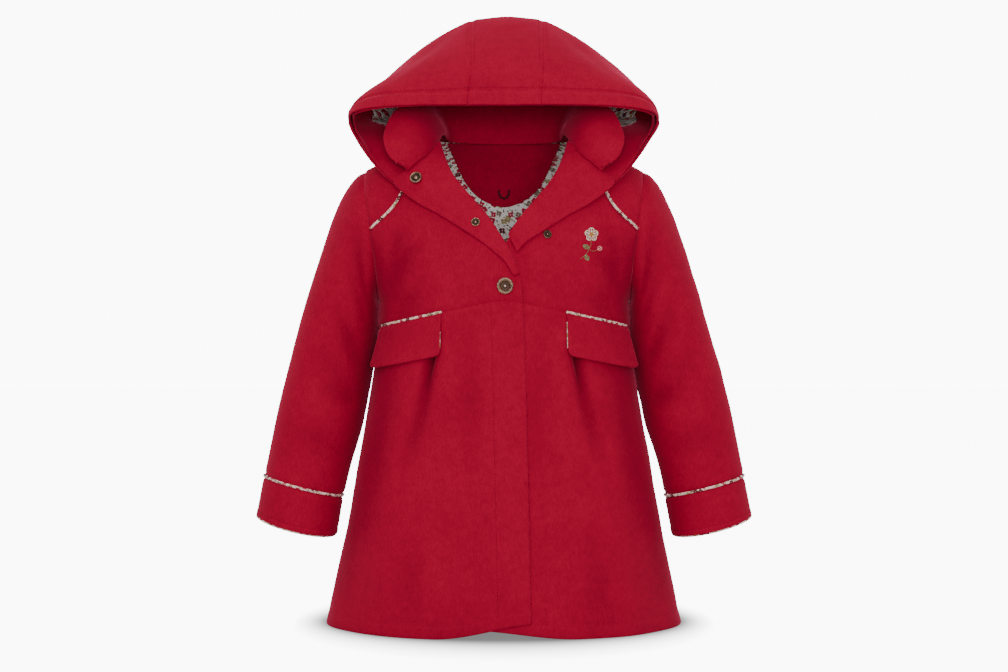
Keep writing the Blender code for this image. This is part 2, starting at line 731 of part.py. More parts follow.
def cuff_piping(name, side, look):
    """The piping in the seam between a sleeve and its cuff."""
    sleeve_end = sleeve_ring(SLEEVE, 1.0, side, SEAM * 2, SLEEVE_COLUMNS)
    cuff_top = sleeve_ring(CUFF, 0.0, side, SEAM * 2, SLEEVE_COLUMNS)
    path = [(above + below) / 2 for above, below in zip(sleeve_end, cuff_top)]
    return rod(name, path, PIPING_RADIUS, look, sides=5, closed=True)


def cuff_edging(name, side, look):
    """The thin printed edge under the cuff's hem."""
    low = sleeve_ring(CUFF, 1.0, side, WOOL * 0.6, SLEEVE_COLUMNS, CUFF_FRONT_DROP)
    path = [p + Vector((side * SEAM, 0.0, -CUFF_EDGING_DROP)) for p in low]
    return rod(name, path, CUFF_EDGING_RADIUS, look, sides=4, closed=True)


# The hood

def hood_point(across, along):
    """across runs -1 to 1 from base to base over the crown, along runs 0 to 1 from the rim to the back."""
    base_x, base_y, base_z, wide_x, wide_y, wide_z, top_y, top_z, crown, flank = row_at(HOOD, along)
    side = math.copysign(1.0, across)
    centre_half = min(HOOD_SEAM_X, wide_x * 0.8)
    seam_turn = math.acos(power(centre_half / wide_x, 1 / crown))
    share = abs(across)
    if share <= HOOD_CENTRE_SHARE:
        x = centre_half * share / HOOD_CENTRE_SHARE
        turn = math.acos(power(x / wide_x, 1 / crown))
        at_seam = power(math.sin(seam_turn), crown)
        rise = at_seam + (power(math.sin(turn), crown) - at_seam) * HOOD_FLATTEN
        y, z = wide_y + (top_y - wide_y) * rise, wide_z + (top_z - wide_z) * rise
    elif share <= HOOD_WIDEST_SHARE:
        turn = seam_turn * (HOOD_WIDEST_SHARE - share) / (HOOD_WIDEST_SHARE - HOOD_CENTRE_SHARE)
        rise = power(math.sin(turn), crown)
        x = wide_x * power(math.cos(turn), crown)
        y, z = wide_y + (top_y - wide_y) * rise, wide_z + (top_z - wide_z) * rise
    else:
        turn = math.pi / 2 * (share - HOOD_WIDEST_SHARE) / (1 - HOOD_WIDEST_SHARE)
        fall = power(math.sin(turn), flank)
        out = power(math.cos(turn), flank)
        x = base_x + (wide_x - base_x) * out
        y = base_y + (wide_y - base_y) * (1 - fall)
        z = base_z + (wide_z - base_z) * (1 - fall)
    lean = HOOD_SHIFT_X * ease((z - 45.0) / 50.0)
    return Vector((side * x + lean, y, z))


def hood_out(across, along):
    step = 0.004
    before, after = max(across - step, -1.0), min(across + step, 1.0)
    front, rear = max(along - step, 0.0), min(along + step, 1.0)
    width = hood_point(after, along) - hood_point(before, along)
    length = hood_point(across, rear) - hood_point(across, front)
    return width.cross(length).normalized()


def on_hood(across, along, over=0.0):
    return hood_point(across, along) + hood_out(across, along) * over


def hood_piece(name, acrosses, alongs, over, thick, look):
    outer = [[on_hood(a, t, over) for a in acrosses] for t in alongs]
    inner = [[on_hood(a, t, over - thick) for a in acrosses] for t in alongs]
    return wall(name, outer, inner, look)


# The collar and lapels

def collar_point(along, up):
    """along runs -1 to 1 round the neck through the back, up runs 0 to 1 from the seam to the free edge."""
    rows = row_at(COLLAR, 1.0 - abs(along))
    base, tip, swell = Vector(rows[0:3]), Vector(rows[3:6]), rows[6]
    bulge = Vector((-0.35, -0.9, 0.35)) * swell * 4 * up * (1 - up)
    point = base.lerp(tip, up) + bulge
    return Vector((math.copysign(1.0, along) * point.x, point.y, point.z))


def collar(look):
    alongs = spread(-1.0, 1.0, 26)
    ups = spread(0.0, 1.0, 4)
    step = 0.01

    def facing(along, up):
        width = collar_point(min(along + step, 1.0), up) - collar_point(max(along - step, -1.0), up)
        height = collar_point(along, min(up + step, 1.0)) - collar_point(along, max(up - step, 0.0))
        return width.cross(height).normalized()

    near = [[collar_point(a, u) for a in alongs] for u in ups]
    far = [[collar_point(a, u) + facing(a, u) * WOOL for a in alongs] for u in ups]
    return wall("collar", near, far, look)


def lapel(name, side, look):
    rows = UPPER_LAPEL if side < 0 else UNDER_LAPEL
    last = rows[-1][0]

    def lift(x, z):
        return -covered(x, z) if side > 0 else 0.0

    def place(roll, free, distance, over):
        """A point at a distance from the roll line towards the free edge, over the body."""
        way = Vector((free[0] - roll[0], free[1] - roll[1]))
        way = way.normalized() if way.length > 1.0 else Vector((1.0, -1.0)).normalized()
        x, z = roll[0] + way.x * distance, roll[1] + way.y * distance
        return on_body(side * angle_of(x, z), z, over + lift(x, z))

    outer, inner = [], []
    for j in range(13):
        roll_x, roll_z, free_x, free_z, rise = row_at(rows, last * j / 12)
        roll, free = (roll_x, roll_z), (free_x, free_z)
        width = math.hypot(free_x - roll_x, free_z - roll_z)
        front = [place(roll, free, d, h) for d, h, _, _ in LAPEL_ROLL]
        rear = [place(roll, free, d, h) for _, _, d, h in LAPEL_ROLL]
        for i in range(1, 6):
            distance = 1.2 + max(width - 1.2, 2.0) * i / 5
            over = rise * ease(i / 4)
            front.append(place(roll, free, distance, 3.5 + over))
            rear.append(place(roll, free, distance, 1.3 + over))
        outer.append(front)
        inner.append(rear)
    return wall(name, outer, inner, look)


def build():
    for thing in list(bpy.data.objects):
        bpy.data.objects.remove(thing)
    wool = material("cranberry_wool", (0.36, 0.008, 0.022), 0.85)
    print_cloth = material("flowered_cotton", (0.62, 0.5, 0.46), 0.8)
    brass = material("aged_brass", (0.30, 0.19, 0.08), 0.4, 1.0)
    horn = material("horn_button", (0.25, 0.13, 0.05), 0.35)

    bodice_back(wool)
    skirt_back(wool)
    back_lining(print_cloth)
    back_facing(wool)
    neck_loop(print_cloth)
    collar(wool)
    for name, side in SIDES:
        bodice_front("bodice_front_" + name, side, wool)
        yoke("yoke_" + name, side, wool)
        skirt_front("skirt_front_" + name, side, wool)
        lapel("lapel_" + name, side, wool)
        flap("pocket_flap_" + name, side, wool)
        flap_edging("flap_edging_" + name, side, print_cloth)
        flap_piping("flap_piping_" + name, side, print_cloth)
        yoke_piping("yoke_piping_" + name, side, print_cloth)
        sleeve("sleeve_" + name, side, wool)
        cuff("cuff_" + name, side, wool)
        cuff_piping("cuff_piping_" + name, side, print_cloth)
        cuff_edging("cuff_edging_" + name, side, print_cloth)
        flank = [HOOD_CENTRE_SHARE + HOOD_SEAM_SHARE] + HOOD_FLANK[1:]
        hood_piece("hood_side_" + name, sorted(side * a for a in flank), HOOD_ROWS, 0.0, WOOL, wool)
    middle = spread(HOOD_SEAM_SHARE - HOOD_CENTRE_SHARE, HOOD_CENTRE_SHARE - HOOD_SEAM_SHARE, 4)
    hood_piece("hood_centre", middle, HOOD_ROWS, 0.0, WOOL, wool)
    inside = -WOOL - LAYER_GAP
    round_hood = [-a for a in reversed(HOOD_FLANK[:-1])] + middle[1:-1] + HOOD_FLANK[:-1]
    hood_piece("hood_rim_facing", round_hood, HOOD_ROWS[:HOOD_FACING_ROWS], inside, FACING, wool)
    hood_piece("hood_lining", round_hood, HOOD_ROWS[HOOD_FACING_ROWS:-1], inside, LINING, print_cloth)
    fastener("front_button", FRONT_BUTTON, 20, horn)
    fastener("lapel_snap", LAPEL_SNAP, 16, brass)
    fastener("roll_snap", ROLL_SNAP, 12, brass)
    fastener("under_snap", UNDER_SNAP, 12, brass)


build()
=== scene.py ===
"""Looks for a small girl's hooded wool coat, laid out as an add-on and run as a script.

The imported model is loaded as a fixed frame, and every cloth piece of it is dressed with a finer shell on the
same surfaces: the body, a sleeve, the hood and the collar. Lengths are millimetres until a mesh is made.
+Z is up, the front faces -Y and +X is the wearer's left.
"""
import math

import bpy
import numpy as np
from bpy.props import FloatProperty, FloatVectorProperty, IntProperty, PointerProperty
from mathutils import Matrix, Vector


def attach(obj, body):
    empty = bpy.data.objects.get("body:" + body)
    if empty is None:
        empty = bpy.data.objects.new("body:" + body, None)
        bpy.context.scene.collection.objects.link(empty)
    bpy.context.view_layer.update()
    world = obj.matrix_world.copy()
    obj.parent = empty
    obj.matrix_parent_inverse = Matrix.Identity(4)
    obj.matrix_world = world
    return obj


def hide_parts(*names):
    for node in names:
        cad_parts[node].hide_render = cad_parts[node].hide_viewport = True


bl_info = {
    "name": "Hooded wool coat",
    "version": (1, 0, 0),
    "blender": (4, 5, 0),
    "location": "3D View > Sidebar > Coat",
    "description": "Dresses a child's hooded coat in wool, printed cotton, piping, buttons and stitching",
    "category": "Object",
}

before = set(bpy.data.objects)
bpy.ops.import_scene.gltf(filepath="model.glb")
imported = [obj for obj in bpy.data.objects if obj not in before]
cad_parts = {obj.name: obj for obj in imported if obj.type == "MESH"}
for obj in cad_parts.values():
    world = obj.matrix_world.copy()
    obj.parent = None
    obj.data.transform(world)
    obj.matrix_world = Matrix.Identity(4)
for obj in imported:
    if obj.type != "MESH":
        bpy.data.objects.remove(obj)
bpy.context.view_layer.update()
MM = 0.001
SIDES = (("right", -1.0), ("left", 1.0))

# Body: heights of the main lines
NECK_Z = 33.0
SHOULDER_TIP_Z = -7.0
ARMPIT_Z = -141.0
WAIST_CENTRE_Z = -141.0
WAIST_SIDE_Z = -168.0
HEM_Z = -467.0
NECK_HALF = 66.0
SHOULDER_HALF = 143.0
ARMHOLE_HALF_DEPTH = 56.0
ARMHOLE_MIDDLE = (SHOULDER_TIP_Z + ARMPIT_Z) / 2
ARMHOLE_REACH = (SHOULDER_TIP_Z - ARMPIT_Z) / 2
BODY_ROUND = 0.92
WAIST_SLOPE = 0.215
WAIST_ROUND = 8.0
# Rise of a front's hem at its free edge, and the distance from the centre at which the rise starts
UPPER_HEM = (15.5, 70.0)
UNDER_HEM = (9.0, 75.0)
HEM_CURVE = 108.0
# Angles round the body: 0 at the front, 90 at the left side, 180 at the back
FLANK = 90.0
BACK = 180.0

# Thickness of each cloth, gap at a seam, gap between the fronts where one laps over the other
WOOL = 2.0
LAPEL_WOOL = 1.9
FACING = 1.5
LINING = 1.2
SEAM = 0.3
LAP_GAP = 0.8
LAP_SLOPE = (6.0, 16.0)  # where the under front starts to rise to the body's surface, and over what width

# Height, half width at the armhole or side
TORSO_WIDTH = [
    (HEM_Z, 179.5), (-407.0, 168.5), (-345.0, 156.5), (-281.0, 145.0), (-209.0, 134.0),
    (WAIST_SIDE_Z, 129.5), (ARMPIT_Z, 128.0), (-100.0, 130.5), (-60.0, 136.0), (-30.0, 140.5),
    (SHOULDER_TIP_Z, SHOULDER_HALF),
]
# Height, depth of the front, depth of the back
TORSO_DEPTH = [
    (HEM_Z, 126.0, 127.0), (-407.0, 119.0, 120.0), (-345.0, 113.0, 111.0), (-281.0, 106.0, 102.0),
    (-209.0, 98.0, 92.0), (WAIST_SIDE_Z, 94.0, 88.0), (ARMPIT_Z, 93.0, 88.0), (-100.0, 92.0, 88.0),
    (-67.0, 88.0, 86.0), (-30.0, 79.0, 80.0), (SHOULDER_TIP_Z, 69.0, 72.0), (5.0, 63.0, 66.0),
    (20.0, 53.0, 56.0), (NECK_Z, 44.0, 46.0),
]
# Height, distance of the roll line from the centre, on its own side
ROLL_LINE = [
    (-90.0, -1.5), (-75.0, 8.3), (-57.5, 20.5), (-41.0, 34.0), (-28.0, 45.0), (-13.0, 55.0), (-2.0, 60.5),
    (10.0, 65.5), (20.0, 67.5), (NECK_Z, NECK_HALF),
]
# Height, front edge measured from the centre towards the piece's own side
UPPER_EDGE = [(HEM_Z, -25.5), (-300.0, -22.0), (-131.0, -17.0), (-110.0, -11.0)] + ROLL_LINE
UNDER_EDGE = [(HEM_Z, -30.0), (-150.0, -28.0), (-125.0, -24.0), (-105.0, -12.0)] + ROLL_LINE
# Fraction of the way out, distance from the centre, height
YOKE_SEAM = [
    (0.0, 67.5, 21.0), (0.25, 84.0, 5.0), (0.5, 95.5, -20.0), (0.75, 109.5, -47.0), (1.0, 134.5, -70.0),
]
YOKE_ROOM = 1.5
NECK_TURN = 89.7  # angle at which the yoke's top meets the neck and the shoulder
BELOW_ARM_Z = -153.0

FLAP_INNER_X = 62.0
FLAP_OUTER_X = 122.0
FLAP_DEPTH = 41.0
FLAP_SPLAY = 5.0
FLAP_CORNER = 6.0
FLAP_TOP_GAP = 1.2
FLAP_LIFT = 3.1
EDGING_TOP = 3.5
EDGING_FOOT = 9.0
EDGING_LIFT = 2.6
EDGING_RISE = 1.6
# Flap edging: share of the edge at which it comes into sight, and how far it stands out from the flap
EDGINGS = {"right": (0.5, 0.55), "left": (0.2, 1.1)}

# Pleat: its course, half width at the waist and what that grows by, and how far down the sharp fold goes
PLEAT_TOP_X = 69.0
PLEAT_FOOT_X = 104.0
PLEAT_FOOT_Z = -330.0
PLEAT_HALF = 4.0
PLEAT_SPREAD = 14.0
PLEAT_END = 1.5
PLEAT_FOLD_HALF = 2.2
PLEAT_FOLD_END = 0.42
FLUTES = [  # angle round the body, half width in degrees, height of the flute at the hem
    (38.0, 15.0, 4.0), (72.0, 12.0, 3.0), (118.0, 14.0, 4.0), (150.0, 12.0, 3.5),
]

# Sleeve: fraction of its length, outer x, outer z, inner x, inner z, half depth, forward
SLEEVE = [
    (0.00, 143.5, -7.0, 128.6, -141.4, 56.0, 0.0), (0.06, 153.0, -14.0, 129.9, -146.0, 55.5, 0.0),
    (0.13, 163.5, -29.0, 128.6, -153.0, 54.0, 0.5), (0.21, 175.0, -54.0, 127.8, -163.0, 51.0, 1.0),
    (0.31, 186.0, -86.0, 128.4, -178.0, 48.0, 1.5), (0.43, 198.0, -124.0, 132.2, -201.0, 45.0, 2.0),
    (0.56, 209.5, -165.0, 137.8, -233.0, 43.0, 3.0), (0.70, 221.5, -210.0, 145.4, -268.0, 41.5, 4.0),
    (0.85, 234.5, -262.0, 156.5, -304.0, 40.0, 5.0), (1.00, 245.5, -316.5, 164.5, -337.5, 39.0, 6.0),
]
CUFF = [
    (0.0, 246.3, -320.0, 165.3, -341.0, 39.0, 6.0), (0.5, 250.0, -338.0, 168.3, -359.5, 38.5, 6.5),
    (1.0, 253.8, -357.0, 171.6, -377.5, 38.0, 7.0),
]
CUFF_FRONT_DROP = 4.0
SLEEVE_COLUMNS = 120
SLEEVE_HEAD = 0.16  # fraction over which the sleeve leaves the armhole's edge
SLEEVE_STRETCH = 0.0022  # fraction of the sleeve that is as long as one degree round it
INNER_TURN = 180.0  # turn at which the sleeve faces the body
INNER_HALF = 50.0  # half width of the painted shade on the inner side, in degrees
# Where the sleeve is moved to the body under the arm: height, half its height and half its turn, then how far
UNDER_ARM_Z = -146.0
UNDER_ARM_HALF = 7.0
UNDER_ARM_TURN = 35.0
UNDER_ARM_SHIFT = 1.5
# Seam allowances: into the sleeve's head and towards the body, at the base of the hood's left panel, and
# at the base of the collar
SLEEVE_ALLOWANCE = (2.6, 5.0)
HOOD_ALLOWANCE = np.array([-2.6, 0.6, -3.4])
COLLAR_ALLOWANCE = np.array([0.0, 0.0, -5.0])
# How far the back lining and the neck facing lie behind the wool, and the hanging loop's half width in
# degrees, top, length and depth
LINING_SINK = 1.6
FACING_SINK = 2.0
LOOP_TURN = 1.6
LOOP_TOP_Z = -17.0
LOOP_LENGTH = 9.0
LOOP_OVER = -8.2
# Seeds of the waviness: right front pieces, what is added for the left ones, hood, back lining
BODICE_SEED = 11
LEFT_SEED = 20
HOOD_SEED = 51
LINING_SEED = 71

# Hood ribs: fraction from rim to back, base x, y, z, widest x, y, z, crown y, z, crown and side roundness
HOOD = [
    (0.00, 104.0, -68.5, -27.0, 155.0, -30.0, 39.0, -75.0, 53.0, 0.50, 1.60),
    (0.12, 98.0, -61.5, -13.0, 158.0, -13.0, 42.0, -68.0, 86.0, 0.80, 1.50),
    (0.28, 88.5, -46.5, 6.5, 155.0, 8.0, 46.0, -42.0, 127.0, 1.20, 1.30),
    (0.45, 78.5, -27.5, 22.5, 148.0, 30.0, 50.0, -5.0, 156.0, 1.30, 1.20),
    (0.58, 67.0, -3.0, 33.4, 138.0, 44.0, 53.0, 26.0, 159.0, 1.30, 1.10),
    (0.74, 65.5, 7.0, 33.4, 117.0, 64.0, 55.0, 62.0, 149.0, 1.15, 1.00),
    (0.88, 62.5, 16.8, 34.2, 88.0, 75.0, 52.0, 88.0, 112.0, 1.00, 1.00),
    (0.96, 59.0, 22.7, 35.1, 62.0, 62.0, 45.0, 84.0, 68.0, 0.95, 1.00),
    (1.00, 56.0, 26.5, 35.1, 38.0, 39.2, 34.7, 46.0, 34.4, 0.92, 1.00),
]
HOOD_FLATTEN = 0.35
HOOD_SEAM_X = 36.0
HOOD_SHIFT_X = 3.0
HOOD_CENTRE_SHARE = 0.25
HOOD_WIDEST_SHARE = 0.65
HOOD_SEAM_SHARE = 0.0012
RIM_BAND = 15.0
# Facing inside the rim: its share of the way back over the crown, and what the sides have more; hood lining:
# where it ends at the back, and how far it lies out from the wool's inner face
FACING_CROWN = 0.165
FACING_SIDES = 0.35
HOOD_LINING_END = 0.9075
LINING_RISE = 0.4
HOOD_MIDDLE = np.array([0.0, 15.0, 60.0])

# Collar: fraction from its front end to the back, base x, y, z, free edge x, y, z, swell of the fall
COLLAR = [
    (0.00, 97.0, -72.5, -11.0, 101.0, -76.5, -8.0, 0.5), (0.07, 92.5, -71.5, -7.5, 111.5, -74.0, 0.5, 3.0),
    (0.16, 86.5, -67.5, -2.0, 117.5, -67.0, 14.0, 6.0), (0.27, 78.5, -60.0, 5.0, 117.5, -58.0, 27.0, 8.5),
    (0.40, 71.0, -47.0, 17.5, 109.0, -43.0, 48.0, 9.0), (0.56, 63.3, -16.0, 33.9, 92.0, -18.0, 64.0, 6.0),
    (0.72, 56.8, 16.5, 31.2, 70.0, 20.0, 74.0, 2.0), (0.86, 34.5, 32.6, 30.9, 43.0, 43.0, 79.0, 1.0),
    (1.00, 0.0, 40.2, 30.9, 0.0, 52.0, 80.0, 0.0),
]
# Lapel, from the gorge down: fraction, roll x, roll z, free edge x, free edge z, lift of the free edge
UPPER_LAPEL = [
    (0.00, 65.4, 16.5, 92.6, -16.5, 6.5), (0.12, 61.5, 2.5, 104.0, -25.0, 7.8),
    (0.24, 55.0, -13.0, 101.4, -32.5, 7.0), (0.38, 45.0, -28.0, 82.2, -46.5, 2.0),
    (0.52, 33.9, -41.2, 63.3, -56.7, 0.8), (0.66, 20.5, -57.5, 41.6, -70.5, 0.4),
    (0.80, 8.3, -75.0, 20.5, -84.3, 0.2), (0.88, -1.5, -90.0, 7.0, -95.2, 0.0),
    (0.94, -7.0, -101.0, -1.8, -103.8, 0.0), (1.00, -12.4, -115.0, -9.6, -116.4, 0.0),
]
UNDER_LAPEL = UPPER_LAPEL[:7] + [(0.90, 5.8, -79.0, 12.5, -93.0, 0.0)]
LAPEL_ROLL = [  # share of the turn, distance from the roll line, height over the cloth
    (0.0, -2.8, -1.8), (0.33, -3.0, 0.4), (0.66, -2.1, 2.4), (1.0, 1.2, 3.5),
]
LAPEL_TURNS = 12
BACK_FACING = [  # height, half width
    (-36.0, 6.0), (-30.5, 20.0), (-23.0, 30.5), (-12.0, 40.0), (-3.0, 45.0), (8.0, 50.0), (20.0, 56.0),
    (30.0, 61.0),
]

# Sprig: middle of its bloom and points of its stems (distance along X, height), then its leaves and its bud
# as foot x, foot z, direction in degrees, length, half width, stitches
BLOOM = (86.0, -76.0)
STEMS = [
    [(86.0, -82.5), (84.5, -89.0), (80.5, -95.5), (75.5, -100.0)],
    [(83.5, -91.0), (88.0, -92.5), (92.0, -91.0)],
]
LEAVES = [(84.2, -89.5, 160.0, 7.0, 1.9, 12), (79.8, -96.0, -60.0, 6.5, 1.8, 11)]
BUD = (92.0, -91.0, 30.0, 5.0, 2.0, 11)
PETAL = (5.2, 2.3, 11)  # length, half width, stitches
# From the middle of the bloom, in millimetres
PETAL_FOOT = 1.6
HAIR_ENDS = (0.2, 1.5)
EMBROIDERY_STITCH = (0.0016, 0.0, 0.00055)  # length, gap and thickness, in metres

# Stage, in metres: where the lights aim, half sizes of the dark oval of the shadow painted on the floor and
# of the oval where it ends
COAT_MIDDLE = (0.0, 0.0, -0.16)
SHADOW_OVALS = [(0.176, 0.118), (0.216, 0.235)]
SHADOW_LIGHT = 0.024
SHADOW_CURVE = 2.3
FLOOR_HALF = 8.0
FLOOR_GAP = 1.5  # millimetres from the hem down to the floor
FLOOR_GLOW = 0.35  # what the floor gives off towards the coat; the camera sees it as bright as the backdrop
ROOM_MORE = 0.6  # how much brighter than the floor the camera sees the room
WHITE = (1.0, 1.0, 1.0, 1.0)
# Lights, in metres: name, place, width and height, the setting that holds its power, share of that power
LIGHTS = [
    ("key_light", (-0.5, -2.3, 1.1), (1.8, 1.4), "key", 1.0),
    ("front_light", (0.2, -2.7, -0.1), (1.3, 1.0), "front", 1.0),
    ("top_light", (0.0, -0.1, 1.7), (1.6, 1.2), "top", 1.0),
    ("left_light", (-1.8, 0.7, 0.3), (0.8, 1.8), "rim", 1.0),
    ("right_light", (1.8, 0.7, 0.3), (0.8, 1.8), "rim", 1.0),
    ("back_light", (0.0, 2.4, 0.7), (1.8, 1.6), "key", 0.6),
]

PROFILE_STEPS = 5  # from one row of a lathe profile to the next
# Ending of the piece's name, material, slot, radii of the dark dish, then the lathe profile: radius, height
FASTENER_PROFILES = {
    "front_button": ("_disc", "polished_horn", "horn", (1.5, 4.9), [
        (0.0, 0.0), (6.0, 0.0), (7.7, 0.7), (8.1, 1.8), (7.7, 2.9), (6.9, 3.3), (6.0, 2.9), (5.2, 1.9),
        (4.3, 1.2), (2.6, 0.9), (1.9, 1.4), (1.2, 1.8), (0.0, 1.9),
    ]),
    "lapel_snap": ("_cap", "aged_brass", "brass", (2.0, 4.5), [
        (0.0, 0.0), (5.0, 0.0), (6.0, 0.8), (6.0, 1.8), (5.4, 2.5), (4.7, 2.3), (4.2, 1.4), (3.4, 1.0),
        (2.7, 1.1), (2.1, 1.7), (1.5, 2.2), (0.8, 2.5), (0.0, 2.6),
    ]),
    "roll_snap": ("_cap", "aged_brass", "brass", (0.9, 3.5), [
        (0.0, 0.0), (3.6, 0.0), (4.3, 0.7), (4.2, 1.5), (3.6, 1.9), (2.9, 1.3), (1.9, 1.0), (1.4, 1.6),
        (0.7, 1.9), (0.0, 1.9),
    ]),
    "under_snap": ("_cap", "aged_brass", "brass", (0.5, 3.6), [
        (0.0, 0.0), (3.5, 0.0), (4.1, 0.7), (4.0, 1.5), (3.4, 1.9), (2.7, 1.3), (1.8, 1.0), (1.3, 1.6),
        (0.6, 1.9), (0.0, 1.9),
    ]),
}
PLACKET = 31.0  # from the upper front's edge to the stitches that hold its facing
HEM_STITCHES = 11.5

# Soft creases, listed one by one. Body: x, z at both ends (x towards the piece's own side), half width, height
FRONT_CREASES = [
    (114.0, -124.0, 92.0, -92.0, 9.0, -1.6), (114.0, -104.0, 100.0, -72.0, 7.0, -1.1),
    (60.0, -150.0, 66.0, -118.0, 12.0, 0.7), (20.0, -120.0, 52.0, -96.0, 14.0, 0.6),
    (108.0, -158.0, 88.0, -140.0, 9.0, -0.8), (34.0, -52.0, 78.0, -60.0, 16.0, 0.6),
]
SKIRT_CREASES = [
    (10.0, -168.0, 2.0, -330.0, 16.0, 0.8), (34.0, -180.0, 30.0, -300.0, 15.0, -0.9),
    (92.0, -222.0, 96.0, -262.0, 10.0, 0.9), (118.0, -214.0, 138.0, -360.0, 13.0, -1.3),
    (52.0, -340.0, 60.0, -440.0, 20.0, 1.0), (-8.0, -400.0, -12.0, -450.0, 14.0, 0.7),
    (150.0, -330.0, 160.0, -430.0, 12.0, -1.2), (84.0, -380.0, 92.0, -450.0, 16.0, -1.0),
]
BACK_CREASES = [
    (112.0, -126.0, 84.0, -88.0, 9.0, -1.6), (-112.0, -126.0, -86.0, -96.0, 9.0, -1.3),
    (30.0, -60.0, -34.0, -66.0, 16.0, -0.7), (60.0, -160.0, 52.0, -110.0, 13.0, -0.9),
    (-58.0, -160.0, -48.0, -120.0, 12.0, -0.7), (0.0, -160.0, 2.0, -80.0, 20.0, 0.6),
    (38.0, -180.0, 52.0, -420.0, 15.0, -1.8), (-42.0, -180.0, -56.0, -400.0, 15.0, -1.6),
    (0.0, -200.0, 0.0, -450.0, 22.0, 1.0), (96.0, -200.0, 118.0, -440.0, 14.0, -1.5),
    (-98.0, -190.0, -122.0, -440.0, 14.0, -1.6),
]
# Sleeve: turn round it in degrees (0 outside, 90 front, 180 inside) and fraction at both ends, width, height
SLEEVE_CREASES = [
    (128.0, 0.20, 88.0, 0.12, 0.050, -1.8), (132.0, 0.32, 100.0, 0.25, 0.045, -1.4),
    (140.0, 0.50, 95.0, 0.42, 0.050, -1.8), (60.0, 0.62, 130.0, 0.55, 0.060, -1.0),
    (28.0, 0.20, 40.0, 0.60, 0.060, 0.9), (145.0, 0.61, 105.0, 0.66, 0.040, -1.5),
    (130.0, 0.80, 70.0, 0.86, 0.050, -0.8), (230.0, 0.22, 272.0, 0.13, 0.050, -1.8),
    (222.0, 0.45, 266.0, 0.40, 0.050, -1.6), (216.0, 0.60, 256.0, 0.64, 0.045, -1.5),
    (320.0, 0.30, 310.0, 0.70, 0.060, 0.8), (230.0, 0.82, 290.0, 0.88, 0.050, -0.8),
]
# Hood: across and along at both ends, width, height
HOOD_CREASES = [
    (-0.42, 0.15, -0.30, 0.42, 0.030, -1.2), (0.40, 0.16, 0.30, 0.40, 0.030, -1.2),
    (-0.56, 0.30, -0.40, 0.62, 0.035, 1.2), (0.54, 0.32, 0.40, 0.60, 0.035, 1.2),
    (-0.10, 0.30, 0.12, 0.34, 0.030, -0.7), (-0.70, 0.45, -0.52, 0.80, 0.035, -1.8),
    (0.70, 0.42, 0.52, 0.78, 0.035, -1.8), (-0.30, 0.74, 0.28, 0.78, 0.050, -1.5),
    (-0.80, 0.62, -0.50, 0.90, 0.035, -1.5), (0.80, 0.62, 0.50, 0.90, 0.035, -1.5),
]
# Name, distance along X, height, height of the seat over the body
FASTENERS = {
    "front_button": (1.0, -127.0, 0.0), "lapel_snap": (-84.0, -24.5, 10.2),
    "roll_snap": (-27.5, -65.5, 3.9), "under_snap": (42.5, -76.5, 0.0),
}

PRINT_COLOURS = ("Red", "Maroon", "Taupe", "Olive", "Grey")
FOLD_SHADE = 0.62  # how much painted shade darkens the deepest fold
BLUR = 0.015  # half width of a bloom's soft edge, in cells of the print
FLOWER_PETALS = 4.0
# Layers of the print: how much finer its cells are than the blooms', radius, petals and their depth, then
# the colours, each with the chance at which its share of the cells starts
PRINT = [
    (2.0, 0.20, 2.0, 0.5, (("Olive", 0.0), ("Grey", 0.35), ("Taupe", 0.6), ("Maroon", 0.8))),
    (1.0, 0.37, FLOWER_PETALS, 0.20, (("Red", 0.0), ("Maroon", 0.62), ("Taupe", 0.78), ("Olive", 0.9))),
    (2.9, 0.11, 1.0, 0.0, (("Red", 0.0), ("Grey", 0.6))),
]
THREADS = {
    "maroon_cord": (0.05, 0.006, 0.012), "cream_thread": (0.75, 0.62, 0.5),
    "blush_thread": (0.75, 0.28, 0.27), "ochre_thread": (0.62, 0.30, 0.06), "sage_thread": (0.22, 0.27, 0.13),
}
# Depth of the bumps in a material, in metres
FINE_BUMP = 0.0002
WOOL_BUMP = 0.0006
# Slight waviness of hung cloth: length and height of each wave
WAVES = [(150.0, 0.5), (90.0, 0.35), (55.0, 0.22), (34.0, 0.12), (20.0, 0.05)]
LAP_END_X = 40.0  # nearer the centre than this, a sunken lap of the fronts takes no painted fold shade
# Where painted shade darkens the body beside a sleeve: low end, high end and distance from the centre,
# each with the length over which it fades, then how dark the painted shade gets
BY_SLEEVE = [(-290.0, 90.0), (-60.0, 50.0), (136.0, 16.0)]
BY_SLEEVE_SHADE = 0.55
FULL_FOLD = 7.0  # depth at which a fold takes its darkest painted shade
# Turned edges: swell, width and slope of the turned band, then depth, place and width of the stitched line
BANDS = {"turned": (0.35, 13.0, 2.5, 0.3, 11.5, 1.6), "stitched": (0.3, 6.0, 2.0, 0.28, 5.0, 1.2)}
SEAM_SWELL = (0.22, 6.0, 3.0)  # height, distance from the seam and width of the swell beside it
PATTERN = 0.1  # printed pattern's units for each millimetre
LEAST_AREA = 0.31  # the least share of its flat rectangle that a cut piece's area is taken as
TUCK_STEP = 0.45  # where the middle row of a seam allowance lies

# Piping radii, and how far each cord lies over the cloth or inside its seam
FLAP_PIPING = (1.3, 1.7)
YOKE_PIPING = (1.35, 0.35)
CUFF_PIPING = (1.4, 0.35)
CUFF_EDGING = (1.05, 1.2)
EDGING_RADIUS = 0.36
LOOP_RADIUS = 0.9


# Numbers

def ease(x):
    """0 below 0, 1 above 1, and a soft step between."""
    x = np.clip(x, 0.0, 1.0)
    return x * x * (3.0 - 2.0 * x)


def hill(distance, width):
    """1 at no distance, falling softly to 0."""
    return np.exp(-((distance / width) ** 2))


